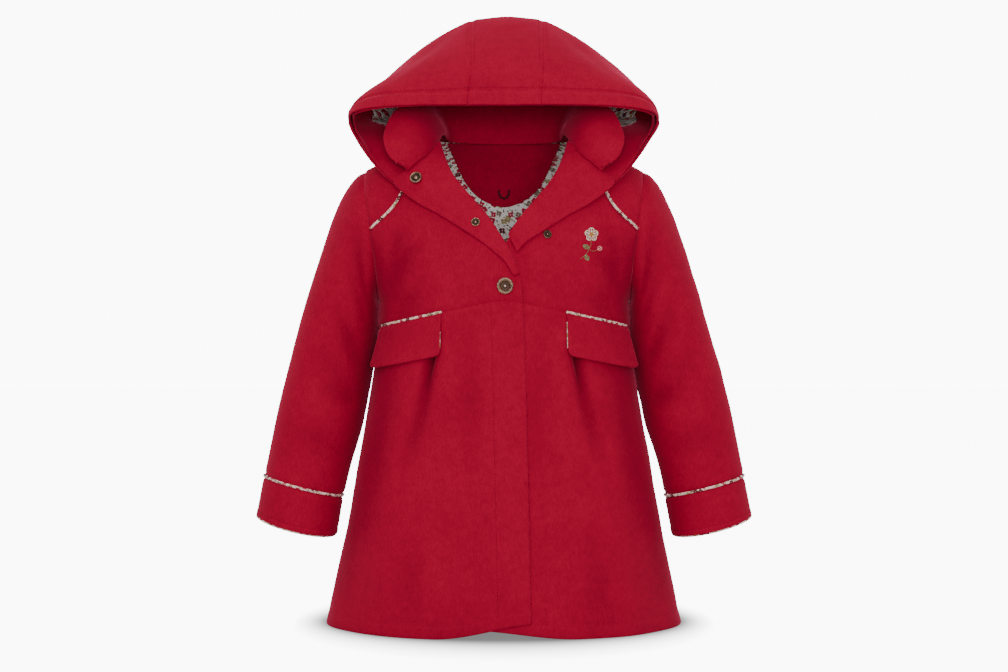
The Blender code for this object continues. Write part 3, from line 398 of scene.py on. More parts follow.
def smooth(rows, x):
    """The columns of a table at every x, on a smooth curve through its rows."""
    table = np.array(rows, float)
    keys, values = table[:, 0], table[:, 1:]
    before = np.maximum(np.arange(len(keys)) - 1, 0)
    after = np.minimum(np.arange(len(keys)) + 1, len(keys) - 1)
    slopes = (values[after] - values[before]) / (keys[after] - keys[before])[:, None]
    x = np.clip(np.asarray(x, float), keys[0], keys[-1])
    i = np.clip(np.searchsorted(keys, x, "right") - 1, 0, len(keys) - 2)
    span = (keys[i + 1] - keys[i])[..., None]
    f = (x - keys[i])[..., None] / span
    return (
        values[i] * (1 + 2 * f) * (1 - f) ** 2 + slopes[i] * span * f * (1 - f) ** 2
        + values[i + 1] * f * f * (3 - 2 * f) - slopes[i + 1] * span * f * f * (1 - f)
    )


def spread(first, last, count):
    return np.linspace(first, last, count + 1)


def through(rows, count):
    """Points on a smooth curve through the rows, count steps from the first row to the last."""
    return smooth([(i, *row) for i, row in enumerate(rows)], spread(0.0, len(rows) - 1, count))


def joined(*parts):
    """Coordinate arrays put together as points."""
    return np.stack(np.broadcast_arrays(*parts), -1).astype(float)


def unit(vectors):
    return vectors / np.maximum(np.linalg.norm(vectors, axis=-1, keepdims=True), 1e-9)


def creased(rows, across, up, stretch=1.0):
    """Height of a table's soft creases at every place; stretch turns the first axis into the second's."""
    total = np.zeros(np.broadcast(across, up).shape)
    strength = bpy.context.scene.coat_sizes.crease_strength
    for a0, b0, a1, b1, width, height in rows:
        along_a, along_b = (a1 - a0) * stretch, b1 - b0
        length = along_a ** 2 + along_b ** 2
        share = ((across - a0) * stretch * along_a + (up - b0) * along_b) / length
        share = np.clip(share, 0.0, 1.0)
        off_a = (across - a0) * stretch - share * along_a
        off_b = up - b0 - share * along_b
        fade = 0.35 + 0.65 * np.sin(np.pi * (0.1 + 0.8 * share))
        total += strength * height * fade * np.exp(-(off_a ** 2 + off_b ** 2) / width ** 2)
    return total


def painted_fold_shade(height):
    """How much painted shade a place takes, 0 to 1, from how deep in a fold it lies by the height of the cloth
    there.
    """
    return np.clip(-height / FULL_FOLD, 0.0, 1.0)


def unevenness(points, seed):
    """The slight waviness of hung cloth: a few long waves through space."""
    random = np.random.default_rng(seed)
    total = np.zeros(points.shape[:-1])
    for length, height in WAVES:
        for _ in range(2):
            way = unit(random.normal(size=3)) * 2 * math.pi / length
            total += height * np.sin(points @ way + random.uniform(0, 2 * math.pi))
    return total * bpy.context.scene.coat_sizes.unevenness


# The body surface

def half_width(z):
    low = smooth(TORSO_WIDTH, np.minimum(z, SHOULDER_TIP_Z))[..., 0]
    rise = (z - SHOULDER_TIP_Z) / (NECK_Z - SHOULDER_TIP_Z)
    return np.where(z <= SHOULDER_TIP_Z, low, SHOULDER_HALF + (NECK_HALF - SHOULDER_HALF) * rise)


def armhole_depth(z):
    away = (z - ARMHOLE_MIDDLE) / ARMHOLE_REACH
    return ARMHOLE_HALF_DEPTH * np.sqrt(np.maximum(1.0 - away ** 2, 0.0))


def ring(z, back):
    """Virtual half width and depth of the body at z, and the angle at which its armhole or side starts."""
    depths = smooth(TORSO_DEPTH, z)
    depth = np.where(back, depths[..., 1], depths[..., 0])
    edge = np.arccos(np.minimum((armhole_depth(z) / depth) ** (1 / BODY_ROUND), 1.0))
    return half_width(z) / np.sin(edge) ** BODY_ROUND, depth, np.degrees(edge)


def side_angle(z, back=False):
    edge = ring(np.asarray(z, float), back)[2]
    return BACK - edge if back else edge


def angle_of(x, z):
    """The front angle at a distance x from the centre."""
    width = ring(np.asarray(z, float), False)[0]
    turn = np.arcsin(np.minimum((np.abs(x) / width) ** (1 / BODY_ROUND), 1.0))
    return np.copysign(np.degrees(turn), x)


def turn_of(angle):
    return (angle + BACK) % (2 * BACK) - BACK


def bare_body(angle, z):
    angle, z = np.broadcast_arrays(np.asarray(angle, float), np.asarray(z, float))
    turn = turn_of(angle)
    back = np.abs(turn) > FLANK
    width, depth, _ = ring(z, back)
    quarter = np.radians(np.where(back, BACK - np.abs(turn), np.abs(turn)))
    x = np.copysign(width * np.maximum(np.sin(quarter), 0.0) ** BODY_ROUND, turn)
    y = depth * np.maximum(np.cos(quarter), 0.0) ** BODY_ROUND
    return joined(x, np.where(back, y, -y), z)


def body_out(angle, z):
    """The outward direction of the body, from places a small step away."""
    step = 0.6
    across = bare_body(angle + step, z) - bare_body(angle - step, z)
    up = bare_body(angle, np.minimum(z + step, NECK_Z)) - bare_body(angle, z - step)
    return unit(np.cross(across, up))


def on_body(angle, z, over=0.0):
    angle, z, over = np.broadcast_arrays(np.asarray(angle, float), z, over)
    return bare_body(angle, z) + body_out(angle, z) * over[..., None]


def on_front(side, x, z, over=0.0):
    """Places on the front of the body, x growing towards the piece's own side."""
    return on_body(side * angle_of(x, z), z, over)


def flute(angle, z):
    """Soft flutes that open from the waist to the hem."""
    fall = ease((WAIST_SIDE_Z - z) / (WAIST_SIDE_Z - HEM_Z))
    turn = np.abs(turn_of(angle))
    return fall * sum(height * hill(turn - middle, wide) for middle, wide, height in FLUTES)


def pleat(angle, z):
    """The pleat under the inner corner of each pocket flap: a sharp fold that opens into a soft trough."""
    down = (WAIST_SIDE_Z - z) / (WAIST_SIDE_Z - PLEAT_FOOT_Z)
    fall = np.maximum(down, 0.0)
    x = np.abs(bare_body(angle, z)[..., 0])
    off = x - (PLEAT_TOP_X + (PLEAT_FOOT_X - PLEAT_TOP_X) * fall ** 1.3)
    wide = PLEAT_HALF + PLEAT_SPREAD * fall
    fade = ease((PLEAT_END - down) / 1.3) * ease((down + 0.16) / 0.2)
    ridges = 0.15 * hill(off + 2.0 * wide, 1.5 * wide) + 0.1 * hill(off - 1.9 * wide, 1.3 * wide)
    fold = hill(off + 1.0, PLEAT_FOLD_HALF) * ease((PLEAT_FOLD_END - down) / 0.3)
    height = bpy.context.scene.coat_sizes.pleat_depth * fade * (ridges - 0.55 * hill(off, wide) - 0.6 * fold)
    return np.where((np.abs(angle) > FLANK) | (z > WAIST_CENTRE_Z), 0.0, height)


def waist(x):
    """Height of the waist seam, which rises to the centre of the front."""
    across = np.hypot(x, WAIST_ROUND) - WAIST_ROUND
    return np.maximum(WAIST_CENTRE_Z - WAIST_SLOPE * across, WAIST_SIDE_Z)


def hem(x, side):
    """Height of a front's hem, which rises to its free edge; x grows towards its own side."""
    rise, start = UPPER_HEM if side < 0 else UNDER_HEM
    return HEM_Z + rise * ease((start - x) / HEM_CURVE)


def covered(x, z):
    """How far the under front lies inside the upper front, at x on the wearer's left."""
    edge = -smooth(UPPER_EDGE, z)[..., 0]
    start, width = LAP_SLOPE
    return (WOOL + LAP_GAP) * (1.0 - ease((x - edge - start) / width))


# Meshes

def placed(name, data):
    """An object of the scene that holds the data."""
    thing = bpy.data.objects.new(name, data)
    bpy.context.scene.collection.objects.link(thing)
    return thing


def mesh_piece(name, points, faces, look, uv, wrap=0.0):
    """A closed, smooth object from points in millimetres; wrap is the length of a pattern that goes round."""
    corners = points[faces]
    if np.einsum("ij,ij->", corners[:, 0], np.cross(corners[:, 1], corners[:, 2])) < 0:
        faces = faces[:, ::-1]
    mesh = bpy.data.meshes.new(name)
    mesh.from_pydata((points * MM).tolist(), [], faces.tolist())
    mesh.materials.append(look)
    places = uv[faces]
    if wrap:
        split = places[..., 0].max(1) - places[..., 0].min(1) > wrap / 2
        low = places[..., 0] < wrap / 2
        places[..., 0] += wrap * (split[:, None] & low)
    layer = mesh.uv_layers.new(name="cloth")
    layer.data.foreach_set("uv", (places * PATTERN).astype(np.float32).ravel())
    mesh.shade_smooth()
    return placed(name, mesh)


def grid_out(points, closed=False):
    """The outward direction of a grid whose columns and rows both run along it."""
    if closed:
        across = np.roll(points, -1, 1) - np.roll(points, 1, 1)
    else:
        across = np.gradient(points, axis=1)
    return unit(np.cross(across, np.gradient(points, axis=0)))


def lengths(points, axis):
    """Length along the grid from its first row or column."""
    steps = np.linalg.norm(np.diff(points, axis=axis), axis=-1)
    zero = np.zeros_like(np.take(steps, [0], axis))
    return np.concatenate([zero, np.cumsum(steps, axis)], axis)


def edged(points, out, edges):
    """Sinks a grid at its sewn edges and swells it along its turned ones; edges names a finish per side."""
    across, up = lengths(points, 1), lengths(points, 0)
    distances = {
        "start": across, "end": across[:, -1:] - across, "bottom": up, "top": up[-1:] - up,
    }
    sizes = bpy.context.scene.coat_sizes
    over = np.zeros(points.shape[:2])
    for side, finish in edges.items():
        away = distances[side]
        if finish == "sewn":
            over -= sizes.seam_depth * np.exp(-(away / sizes.seam_reach) ** 1.5)
            swell, line, width = SEAM_SWELL
            over += swell * hill(away - line, width)
        elif finish in BANDS:
            swell, band, slope, sink, line, width = BANDS[finish]
            over += swell * ease((band - away) / slope) - sink * hill(away - line, width)
    return points + out * over[..., None]


def laid(points, side, edges, over=0.0, closed=False):
    """A grid raised by over on the side that is out, with its edges finished."""
    out = grid_out(points, closed) * side
    return edged(points + out * np.asarray(over)[..., None], out, edges)


def tucked(points, edge, way):
    """Adds a seam allowance beyond an edge of a grid, in two steps along way, to close the seam behind."""
    axis, first = (0, edge == "bottom") if edge in ("bottom", "top") else (1, edge == "start")
    last = np.take(points, [0 if first else -1], axis)
    way = np.asarray(way, float)
    way = way if way.ndim == 1 else np.expand_dims(way, axis)
    added = [last + way * TUCK_STEP, last + way]
    return np.concatenate(added[::-1] + [points] if first else [points] + added, axis)


def wall(name, outer, thick, look, side, closed, lined, fold):
    """A cloth wall with rounded edges on a grid of outer points; closed joins the last column to the first.

    side is 1 where the grid's own outward direction is out, and -1 where it is in. A lined wall has the
    print on its inner faces; fold is the painted shade of each point, 0 to 1, which the mesh keeps as
    its attribute fold.
    """
    rows, columns = outer.shape[:2]
    inner = outer - grid_out(outer, closed) * side * thick
    far = rows * columns
    index = np.arange(far).reshape(rows, columns)
    near, after = (index, np.roll(index, -1, 1)) if closed else (index[:, :-1], index[:, 1:])
    quads = np.stack([near[:-1], after[:-1], after[1:], near[1:]], -1).reshape(-1, 4)
    if closed:
        loops = [index[0], index[-1][::-1]]
    else:
        loops = [np.concatenate([index[0, :-1], index[:-1, -1], index[-1, :0:-1], index[:0:-1, 0]])]
    points = [outer.reshape(-1, 3), inner.reshape(-1, 3)]
    faces = [quads, quads[:, ::-1] + far]
    flat = np.concatenate(points)
    across, up = lengths(outer, 1), lengths(outer, 0)
    uv = joined(across - (0.0 if closed else across[:, -1:] / 2), up).reshape(-1, 2)
    uvs = [uv, uv]
    fold = (np.zeros(outer.shape[:2]) if fold is None else fold).ravel()
    folds = [fold, fold]
    count = 2 * far
    for loop in loops:
        row, column = loop // columns, loop % columns
        back_row = np.clip(row, 1, rows - 2)
        back_column = column if closed else np.clip(column, 1, columns - 2)
        away = unit(flat[loop] - flat[index[back_row, back_column]])
        middle, half = (flat[loop] + flat[loop + far]) / 2, (flat[loop] - flat[loop + far]) / 2
        size = len(loop)
        rings = [loop]
        for turn in (math.pi / 4, math.pi / 2, 3 * math.pi / 4):
            points.append(middle + half * math.cos(turn) + away * thick / 2 * math.sin(turn))
            uvs.append(uv[loop])
            folds.append(fold[loop])
            rings.append(np.arange(count, count + size))
            count += size
        rings.append(loop + far)
        for first, second in zip(rings, rings[1:]):
            faces.append(np.stack([np.roll(first, -1), first, second, np.roll(second, -1)], -1))
    wrap = float(across.mean(0)[-1]) if closed else 0.0
    points, faces = np.concatenate(points), np.concatenate(faces)
    piece = mesh_piece(name, points, faces, looks()[look], np.concatenate(uvs), wrap)
    # The painted shade goes on the mesh as the point attribute fold
    depth = piece.data.attributes.new("fold", "FLOAT", "POINT")
    depth.data.foreach_set("value", np.concatenate(folds).astype(np.float32))
    if lined:
        piece.data.materials.append(looks()["flowered_cotton"])
        inside = np.zeros(len(faces), np.int32)
        inside[len(quads):2 * len(quads)] = 1
        piece.data.polygons.foreach_set("material_index", inside)
    return piece


def dressed(piece, node):
    """The piece stands for a node of the frame: it hangs from the root body, and the node is hidden."""
    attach(piece, "root")
    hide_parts(node)


def cloth(node, outer, thick, look="brushed_wool", side=1.0, closed=False, lined=False,
          fold=None):
    """A cloth piece on a grid that stands for the node; the area of its grid laid flat is worked out, but
    nothing uses it.
    """
    # fold is the painted shade of each point, passed on to the wall
    piece = wall(node + "_cloth", outer, thick, look, side, closed, lined, fold)
    dressed(piece, node)
    grid = np.concatenate([outer, outer[:, :1]], 1) if closed else outer
    across, up = lengths(grid, 1), lengths(grid, 0)
    sides = np.cross(np.diff(grid, axis=1)[:-1], np.diff(grid, axis=0)[:, :-1])
    area = float(np.linalg.norm(sides, axis=-1).sum()) * MM * MM
    flat = (float(across[:, -1].max()) * MM, float(up[-1].max()) * MM)
    area = min(max(area, LEAST_AREA * flat[0] * flat[1]), flat[0] * flat[1])


def rounded_path(points, step):
    """A path with points about a step apart, on a smooth curve through the given ones."""
    points = np.asarray(points, float)
    along = np.concatenate([[0.0], np.cumsum(np.linalg.norm(np.diff(points, axis=0), axis=1))])
    rows = np.concatenate([along[:, None], points], 1)
    return smooth(rows, spread(0.0, along[-1], max(int(along[-1] / step), 2)))


def ring_faces(index, closed=False):
    """Faces between the rings of an index grid; closed joins the last ring to the first."""
    low, high = (index, np.roll(index, -1, 0)) if closed else (index[:-1], index[1:])
    return np.stack([low, np.roll(low, -1, 1), np.roll(high, -1, 1), high], -1).reshape(-1, 4)


def tube(name, rings, ends, look, uv=None):
    """A smooth object from rings of points, closed to a point at each end."""
    count, sides = rings.shape[:2]
    points = np.concatenate([rings.reshape(-1, 3), ends])
    index = np.arange(count * sides).reshape(count, sides)
    quads = ring_faces(index)
    tip = np.full(sides, count * sides)
    triangles = np.concatenate([
        np.stack([np.roll(index[0], -1), index[0], tip], -1),
        np.stack([index[-1], np.roll(index[-1], -1), tip + 1], -1),
    ])
    mesh = bpy.data.meshes.new(name)
    mesh.from_pydata((points * MM).tolist(), [], quads.tolist() + triangles.tolist())
    mesh.materials.append(look)
    if uv is not None:
        places = uv[np.concatenate([quads.ravel(), triangles.ravel()])] * PATTERN
        mesh.uv_layers.new(name="cloth").data.foreach_set("uv", places.astype(np.float32).ravel())
    volume = 0.0
    for corners in (points[triangles], points[quads[:, :3]], points[quads[:, [2, 3, 0]]]):
        volume += np.einsum("ij,ij->", corners[:, 0], np.cross(corners[:, 1], corners[:, 2]))
    if volume < 0:
        mesh.flip_normals()
    mesh.shade_smooth()
    return placed(name, mesh)


def rod(name, path, radius, look, sides, closed, seed):
    """A round cord on a path, slightly uneven as covered piping is where it isn't a ring."""
    path = np.asarray(path, float)
    count = len(path)
    if closed:
        along = unit(np.roll(path, -1, 0) - np.roll(path, 1, 0))
    else:
        along = unit(np.gradient(path, axis=0))
    side = np.zeros_like(along)
    side[0] = unit(np.cross(along[0], (0.0, 0.0, 1.0)))
    for i in range(1, count):
        side[i] = unit(side[i - 1] - along[i] * np.dot(side[i - 1], along[i]))
    lift = np.cross(along, side)
    turns = np.arange(sides) * 2 * math.pi / sides
    far = np.concatenate([[0.0], np.cumsum(np.linalg.norm(np.diff(path, axis=0), axis=1))])
    waves = np.random.default_rng(seed).uniform(0, 2 * math.pi, 3)
    uneven = 1 + 0.05 * np.sin(far * 1.1 + waves[0]) + 0.04 * np.sin(far * 2.3 + waves[1])
    if closed:
        uneven[:] = 1.0
    around = side[:, None] * np.cos(turns)[:, None] + lift[:, None] * np.sin(turns)[:, None]
    rings = path[:, None] + around * (radius * uneven)[:, None, None]
    uv = joined(far[:, None], turns[None, :] * radius).reshape(-1, 2)
    if closed:
        faces = ring_faces(np.arange(count * sides).reshape(count, sides), True)
        return mesh_piece(name, rings.reshape(-1, 3), faces, look, uv, wrap=far[-1] + 1.0)
    ends = [path[0] - along[0] * radius * 0.5, path[-1] + along[-1] * radius * 0.5]
    uv = np.concatenate([uv, [[0.0, 0.0], [far[-1], 0.0]]])
    return tube(name, rings, ends, look, uv)


def cord(kind, end, path, radius, look="piping_cotton", sides=10, closed=False, seed=1):
    """A covered cord on a path, which stands for the node of its kind and end of name."""
    piece = rod(f"{kind}_cord{end}", path, radius, looks()[look], sides, closed, seed)
    dressed(piece, kind + end)


# Sleeves, hood, collar and lapels

def sleeve_grid(rows, fractions, side, columns, drop=0.0):
    outer_x, outer_z, inner_x, inner_z, depth, forward = smooth(rows, fractions).T
    turn = np.arange(columns) * 2 * math.pi / columns
    centre = joined((outer_x + inner_x) / 2, -forward, (outer_z + inner_z) / 2)[:, None]
    half = joined((outer_x - inner_x) / 2, 0.0, (outer_z - inner_z) / 2)[:, None]
    fall = (drop * fractions)[:, None] * np.sin(turn)
    point = centre + half * np.cos(turn)[:, None]
    point = point + joined(0.0, -depth[:, None] * np.sin(turn), -fall)
    point[..., 0] *= side
    return point


def power(x, exponent):
    return np.maximum(x, 0.0) ** exponent


def hood_point(across, along):
    """across runs -1 to 1 from base to base over the crown, along runs 0 to 1 from the rim to the back."""
    across, along = np.broadcast_arrays(np.asarray(across, float), along)
    rib = np.moveaxis(smooth(HOOD, along), -1, 0)
    base_x, base_y, base_z, wide_x, wide_y, wide_z, top_y, top_z, crown, flank = rib
    share = np.abs(across)
    centre_half = np.minimum(HOOD_SEAM_X, wide_x * 0.8)
    seam_turn = np.arccos(power(centre_half / wide_x, 1 / crown))
    middle_x = centre_half * share / HOOD_CENTRE_SHARE
    at_seam = power(np.sin(seam_turn), crown)
    middle_turn = np.arccos(np.minimum(power(middle_x / wide_x, 1 / crown), 1.0))
    middle_rise = at_seam + (power(np.sin(middle_turn), crown) - at_seam) * HOOD_FLATTEN
    turn = seam_turn * (HOOD_WIDEST_SHARE - share) / (HOOD_WIDEST_SHARE - HOOD_CENTRE_SHARE)
    rise = np.where(share <= HOOD_CENTRE_SHARE, middle_rise, power(np.sin(turn), crown))
    high_x = np.where(share <= HOOD_CENTRE_SHARE, middle_x, wide_x * power(np.cos(turn), crown))
    high = joined(high_x, wide_y + (top_y - wide_y) * rise, wide_z + (top_z - wide_z) * rise)
    low_turn = math.pi / 2 * np.clip((share - HOOD_WIDEST_SHARE) / (1 - HOOD_WIDEST_SHARE), 0.0, 1.0)
    fall, out = power(np.sin(low_turn), flank), power(np.cos(low_turn), flank)
    low = joined(
        base_x + (wide_x - base_x) * out, base_y + (wide_y - base_y) * (1 - fall),
        base_z + (wide_z - base_z) * (1 - fall),
    )
    point = np.where((share <= HOOD_WIDEST_SHARE)[..., None], high, low)
    lean = HOOD_SHIFT_X * ease((point[..., 2] - 45.0) / 50.0)
    point[..., 0] = np.copysign(1.0, across) * point[..., 0] + lean
    return point


def hood_out(across, along):
    """The outward direction of the hood, from places a small step away."""
    step = 0.004
    left, right = np.minimum(across + step, 1.0), np.maximum(across - step, -1.0)
    back, rim = np.minimum(along + step, 1.0), np.maximum(along - step, 0.0)
    width = hood_point(left, along) - hood_point(right, along)
    length = hood_point(across, back) - hood_point(across, rim)
    return unit(np.cross(width, length))


def on_hood(across, along, over=0.0):
    over = np.asarray(over, float)
    return hood_point(across, along) + hood_out(across, along) * over[..., None]


def collar_point(along, up):
    """along runs -1 to 1 round the neck through the back, up runs 0 to 1 from the seam to the free edge."""
    along, up = np.broadcast_arrays(np.asarray(along, float), up)
    rows = smooth(COLLAR, 1.0 - np.abs(along))
    base, tip, swell = rows[..., 0:3], rows[..., 3:6], rows[..., 6]
    bulge = np.array([-0.35, -0.9, 0.35]) * (swell * 4 * up * (1 - up))[..., None]
    point = base + (tip - base) * up[..., None] + bulge
    point[..., 0] *= np.copysign(1.0, along)
    return point


def lapel_grid(rows, side, stations, columns):
    """The outer face of a lapel, over its roll and out to its free edge."""
    roll_x, roll_z, free_x, free_z, rise = smooth(rows, spread(0.0, rows[-1][0], stations)).T[..., None]
    way_x, way_z = free_x - roll_x, free_z - roll_z
    width = np.hypot(way_x, way_z)
    turned = smooth(LAPEL_ROLL, spread(0.0, 1.0, LAPEL_TURNS))
    share = spread(0.0, 1.0, columns)[1:]
    _, roll_end, roll_top = LAPEL_ROLL[-1]
    rolled = [np.broadcast_to(column, (stations + 1, len(turned))) for column in turned.T]
    distance = np.concatenate([rolled[0], roll_end + np.maximum(width - roll_end, 2.0) * share], 1)
    over = np.concatenate([rolled[1], roll_top + rise * ease(share * 1.25)], 1)
    x, z = roll_x + way_x / width * distance, roll_z + way_z / width * distance
    if side > 0:
        over = over - covered(x, z)
    return on_front(side, x, z, over)


# Laying pieces on the body

def patch(bottom, top, start, end, across, up):
    """A grid of (angle, height) inside four edges; start and end run upwards at the two ends."""
    u, v = across[None, :, None], up[:, None, None]
    ruled = (1 - v) * bottom[None] + v * top[None] + (1 - u) * start[:, None] + u * end[:, None]
    low, high = (1 - u) * bottom[0] + u * bottom[-1], (1 - u) * top[0] + u * top[-1]
    return ruled - (1 - v) * low - v * high


def degrees_at(z, length):
    """The angle that a short length along the ring takes, near the side."""
    return np.degrees(length / smooth(TORSO_DEPTH, z)[..., 0])


def armhole_heights(low, high, count):
    """Heights along the armhole's edge, even in its own angle."""
    turns = np.arccos(np.clip((ARMHOLE_MIDDLE - np.array([low, high])) / ARMHOLE_REACH, -1.0, 1.0))
    return ARMHOLE_MIDDLE - ARMHOLE_REACH * np.cos(spread(turns[0], turns[1], count))


def armhole_edge(z):
    return joined(side_angle(z) - degrees_at(z, SEAM / 2), z)


def free_edge(edge, low, high, up, last=None):
    """Points up a front edge between two heights; last is the top one's angle where it isn't the edge's."""
    z = low + (high - low) * up
    angle = angle_of(smooth(edge, z)[..., 0], z)
    return joined(angle if last is None else np.where(up < 1, angle, last), z)


def front_span(edge, z, u):
    first = angle_of(smooth(edge, z)[..., 0], z)
    return first + (FLANK - degrees_at(z, SEAM / 2) - first) * u


def waist_edge(edge, u, gap):
    """Points of the waist seam's edge on a front, moved up by gap."""
    angle = front_span(edge, WAIST_CENTRE_Z, u)
    return joined(angle, waist(bare_body(angle, WAIST_SIDE_Z)[..., 0]) + gap)


def yoke_edge(u, gap):
    """Points of the yoke's seam, moved up by gap."""
    x, z = smooth(YOKE_SEAM, u).T + np.array([[0.0], [gap]])
    return joined(angle_of(x, z), z)


def bodice_front_grid(side):
    edge = UPPER_EDGE if side < 0 else UNDER_EDGE
    across, up = spread(0, 1, 84) ** 1.1, spread(0, 1, 96)
    bottom, top = waist_edge(edge, across, SEAM / 2), yoke_edge(across, -YOKE_ROOM)
    armhole = armhole_heights(ARMPIT_Z, YOKE_SEAM[-1][2] - YOKE_ROOM, 40)
    heights = np.concatenate([[bottom[-1, 1], BELOW_ARM_Z], armhole])
    shares = np.concatenate([[0.0, 0.14], spread(0.28, 1.0, 40)])
    start = free_edge(edge, bottom[0, 1], YOKE_SEAM[0][2] - YOKE_ROOM, up, top[0, 0])
    return patch(bottom, top, start, armhole_edge(np.interp(up, shares, heights)), across, up)


def yoke_grid():
    across, up = spread(0, 1, 48), spread(0, 1, 30)
    bottom = yoke_edge(across, YOKE_ROOM)
    top = joined(NECK_TURN, NECK_Z - (NECK_Z - SHOULDER_TIP_Z) * across)
    start = free_edge(ROLL_LINE, YOKE_SEAM[0][2] + YOKE_ROOM, NECK_Z, up, NECK_TURN)
    heights = armhole_heights(YOKE_SEAM[-1][2] + YOKE_ROOM, SHOULDER_TIP_Z, 40)
    return patch(bottom, top, start, armhole_edge(np.interp(up, spread(0.0, 1.0, 40), heights)), across, up)


def skirt_front_grid(side):
    edge = UPPER_EDGE if side < 0 else UNDER_EDGE
    across, up = spread(0, 1, 110) ** 1.1, spread(0, 1, 140)
    angle = front_span(edge, HEM_Z, across)
    bottom = joined(angle, hem(bare_body(angle, HEM_Z)[..., 0], side))
    top = waist_edge(edge, across, -SEAM / 2)
    z = bottom[-1, 1] + (top[-1, 1] - bottom[-1, 1]) * up
    end = joined(FLANK - degrees_at(z, SEAM / 2), z)
    return patch(bottom, top, free_edge(edge, bottom[0, 1], top[0, 1], up), end, across, up)


def back_rows(heights, count, margin):
    """A grid round the back, from side to side, one row for each height."""
    first = side_angle(heights, True) + degrees_at(heights, margin)
    share = spread(0.0, 1.0, count)
    return joined(first[:, None] + (2 * BACK - 2 * first[:, None]) * share, heights[:, None])


def bodice_back_grid(columns=130):
    heights = np.concatenate([
        spread(WAIST_SIDE_Z + SEAM / 2, ARMPIT_Z, 12)[:-1],
        armhole_heights(ARMPIT_Z, SHOULDER_TIP_Z, 70)[:-1],
        spread(SHOULDER_TIP_Z, NECK_Z, 22),
    ])
    return back_rows(heights, columns, SEAM)


def flap_grid():
    width = FLAP_OUTER_X - FLAP_INNER_X
    v, u = spread(0.0, 1.0, 44)[:, None], spread(0.0, 1.0, 60)[None, :]

    def corner(length):
        inside = 1 - np.minimum(length, FLAP_CORNER) / FLAP_CORNER
        return 0.45 * FLAP_CORNER * (1 - np.sqrt(1 - inside * inside))

    x = FLAP_INNER_X + (width + FLAP_SPLAY * (1 - v)) * u
    depth = FLAP_DEPTH - corner(u * width) - corner((1 - u) * width)
    z = waist(x) - FLAP_TOP_GAP - (1 - v) * depth
    lift = FLAP_LIFT + (2.4 + 3.2 * u * u) * (1 - v) - 1.1 * ease((v - 0.86) / 0.14)
    return angle_of(x, z), z, lift


def body_piece(name, grid, side, over, edges, creases, seed, lined=True):
    """A panel of the body from a grid of (angle, height), with its creases, waviness and edges."""
    angle, z = side * grid[..., 0], grid[..., 1]
    place = bare_body(angle, z)
    x = place[..., 0] if creases is BACK_CREASES else side * place[..., 0]
    soft = creased(creases, x, z)
    # Painted shade, 0 to 1, kept in fold: creases and sunken cloth are darker
    fold = painted_fold_shade(soft * 1.6 + np.minimum(over, 0.0) * (np.abs(x) > LAP_END_X))
    (low, rise), (high, fall), (apart, width) = BY_SLEEVE
    # beside is painted shade on the body where a sleeve hangs near it
    beside = hill(np.abs(place[..., 0]) - apart, width) * ease((z - low) / rise) * ease((high - z) / fall)
    fold = np.maximum(fold, BY_SLEEVE_SHADE * beside)
    over = over + soft + unevenness(place, seed)
    cloth(name, laid(on_body(angle, z, over), side, edges), WOOL, side=side, lined=lined, fold=fold)


# Materials

def add(tree, kind, values=None, **settings):
    """A node with its settings; a value that is a socket is linked to the input, any other is set on it."""
    made = tree.nodes.new(kind)
    for key, value in settings.items():
        setattr(made, key, value)
    for place, value in (values or {}).items():
        if isinstance(value, bpy.types.NodeSocket):
            tree.links.new(value, made.inputs[place])
        else:
            made.inputs[place].default_value = value
    return made


def link(tree, value, node, place):
    tree.links.new(value, node.inputs[place])


def maths(tree, operation, a, b=0.0, c=0.0):
    return add(tree, "ShaderNodeMath", {0: a, 1: b, 2: c}, operation=operation).outputs[0]


def scaled(tree, vector, factor):
    return add(tree, "ShaderNodeVectorMath", {0: vector, 3: factor}, operation="SCALE").outputs[0]


def stretched(tree, vector, scale):
    return add(tree, "ShaderNodeMapping", {"Vector": vector, "Scale": scale}).outputs[0]


def own_place(tree):
    """Object coordinates."""
    return add(tree, "ShaderNodeTexCoord").outputs["Object"]


def mixed(tree, share, a, b):
    return add(tree, "ShaderNodeMix", {0: share, 6: a, 7: b}, data_type="RGBA").outputs[2]


def ranged(tree, value, low, high, to_low=0.0, to_high=1.0):
    values = {0: value, 1: low, 2: high, 3: to_low, 4: to_high}
    return add(tree, "ShaderNodeMapRange", values).outputs[0]


def noise(tree, vector, scale, detail=2.0, roughness=0.5):
    values = {"Vector": vector, "Scale": scale, "Detail": detail, "Roughness": roughness}
    return add(tree, "ShaderNodeTexNoise", values).outputs["Fac"]


def effect(name, inputs, outputs, kind="ShaderNodeTree"):
    """A node group with named inputs and outputs; returns its tree, what it is given and its end node."""
    tree = bpy.data.node_groups.new(name, kind)
    for label, socket in inputs:
        tree.interface.new_socket(name=label, in_out="INPUT", socket_type="NodeSocket" + socket)
    for label, socket in outputs:
        tree.interface.new_socket(name=label, in_out="OUTPUT", socket_type="NodeSocket" + socket)
    return tree, tree.nodes.new("NodeGroupInput").outputs, tree.nodes.new("NodeGroupOutput")


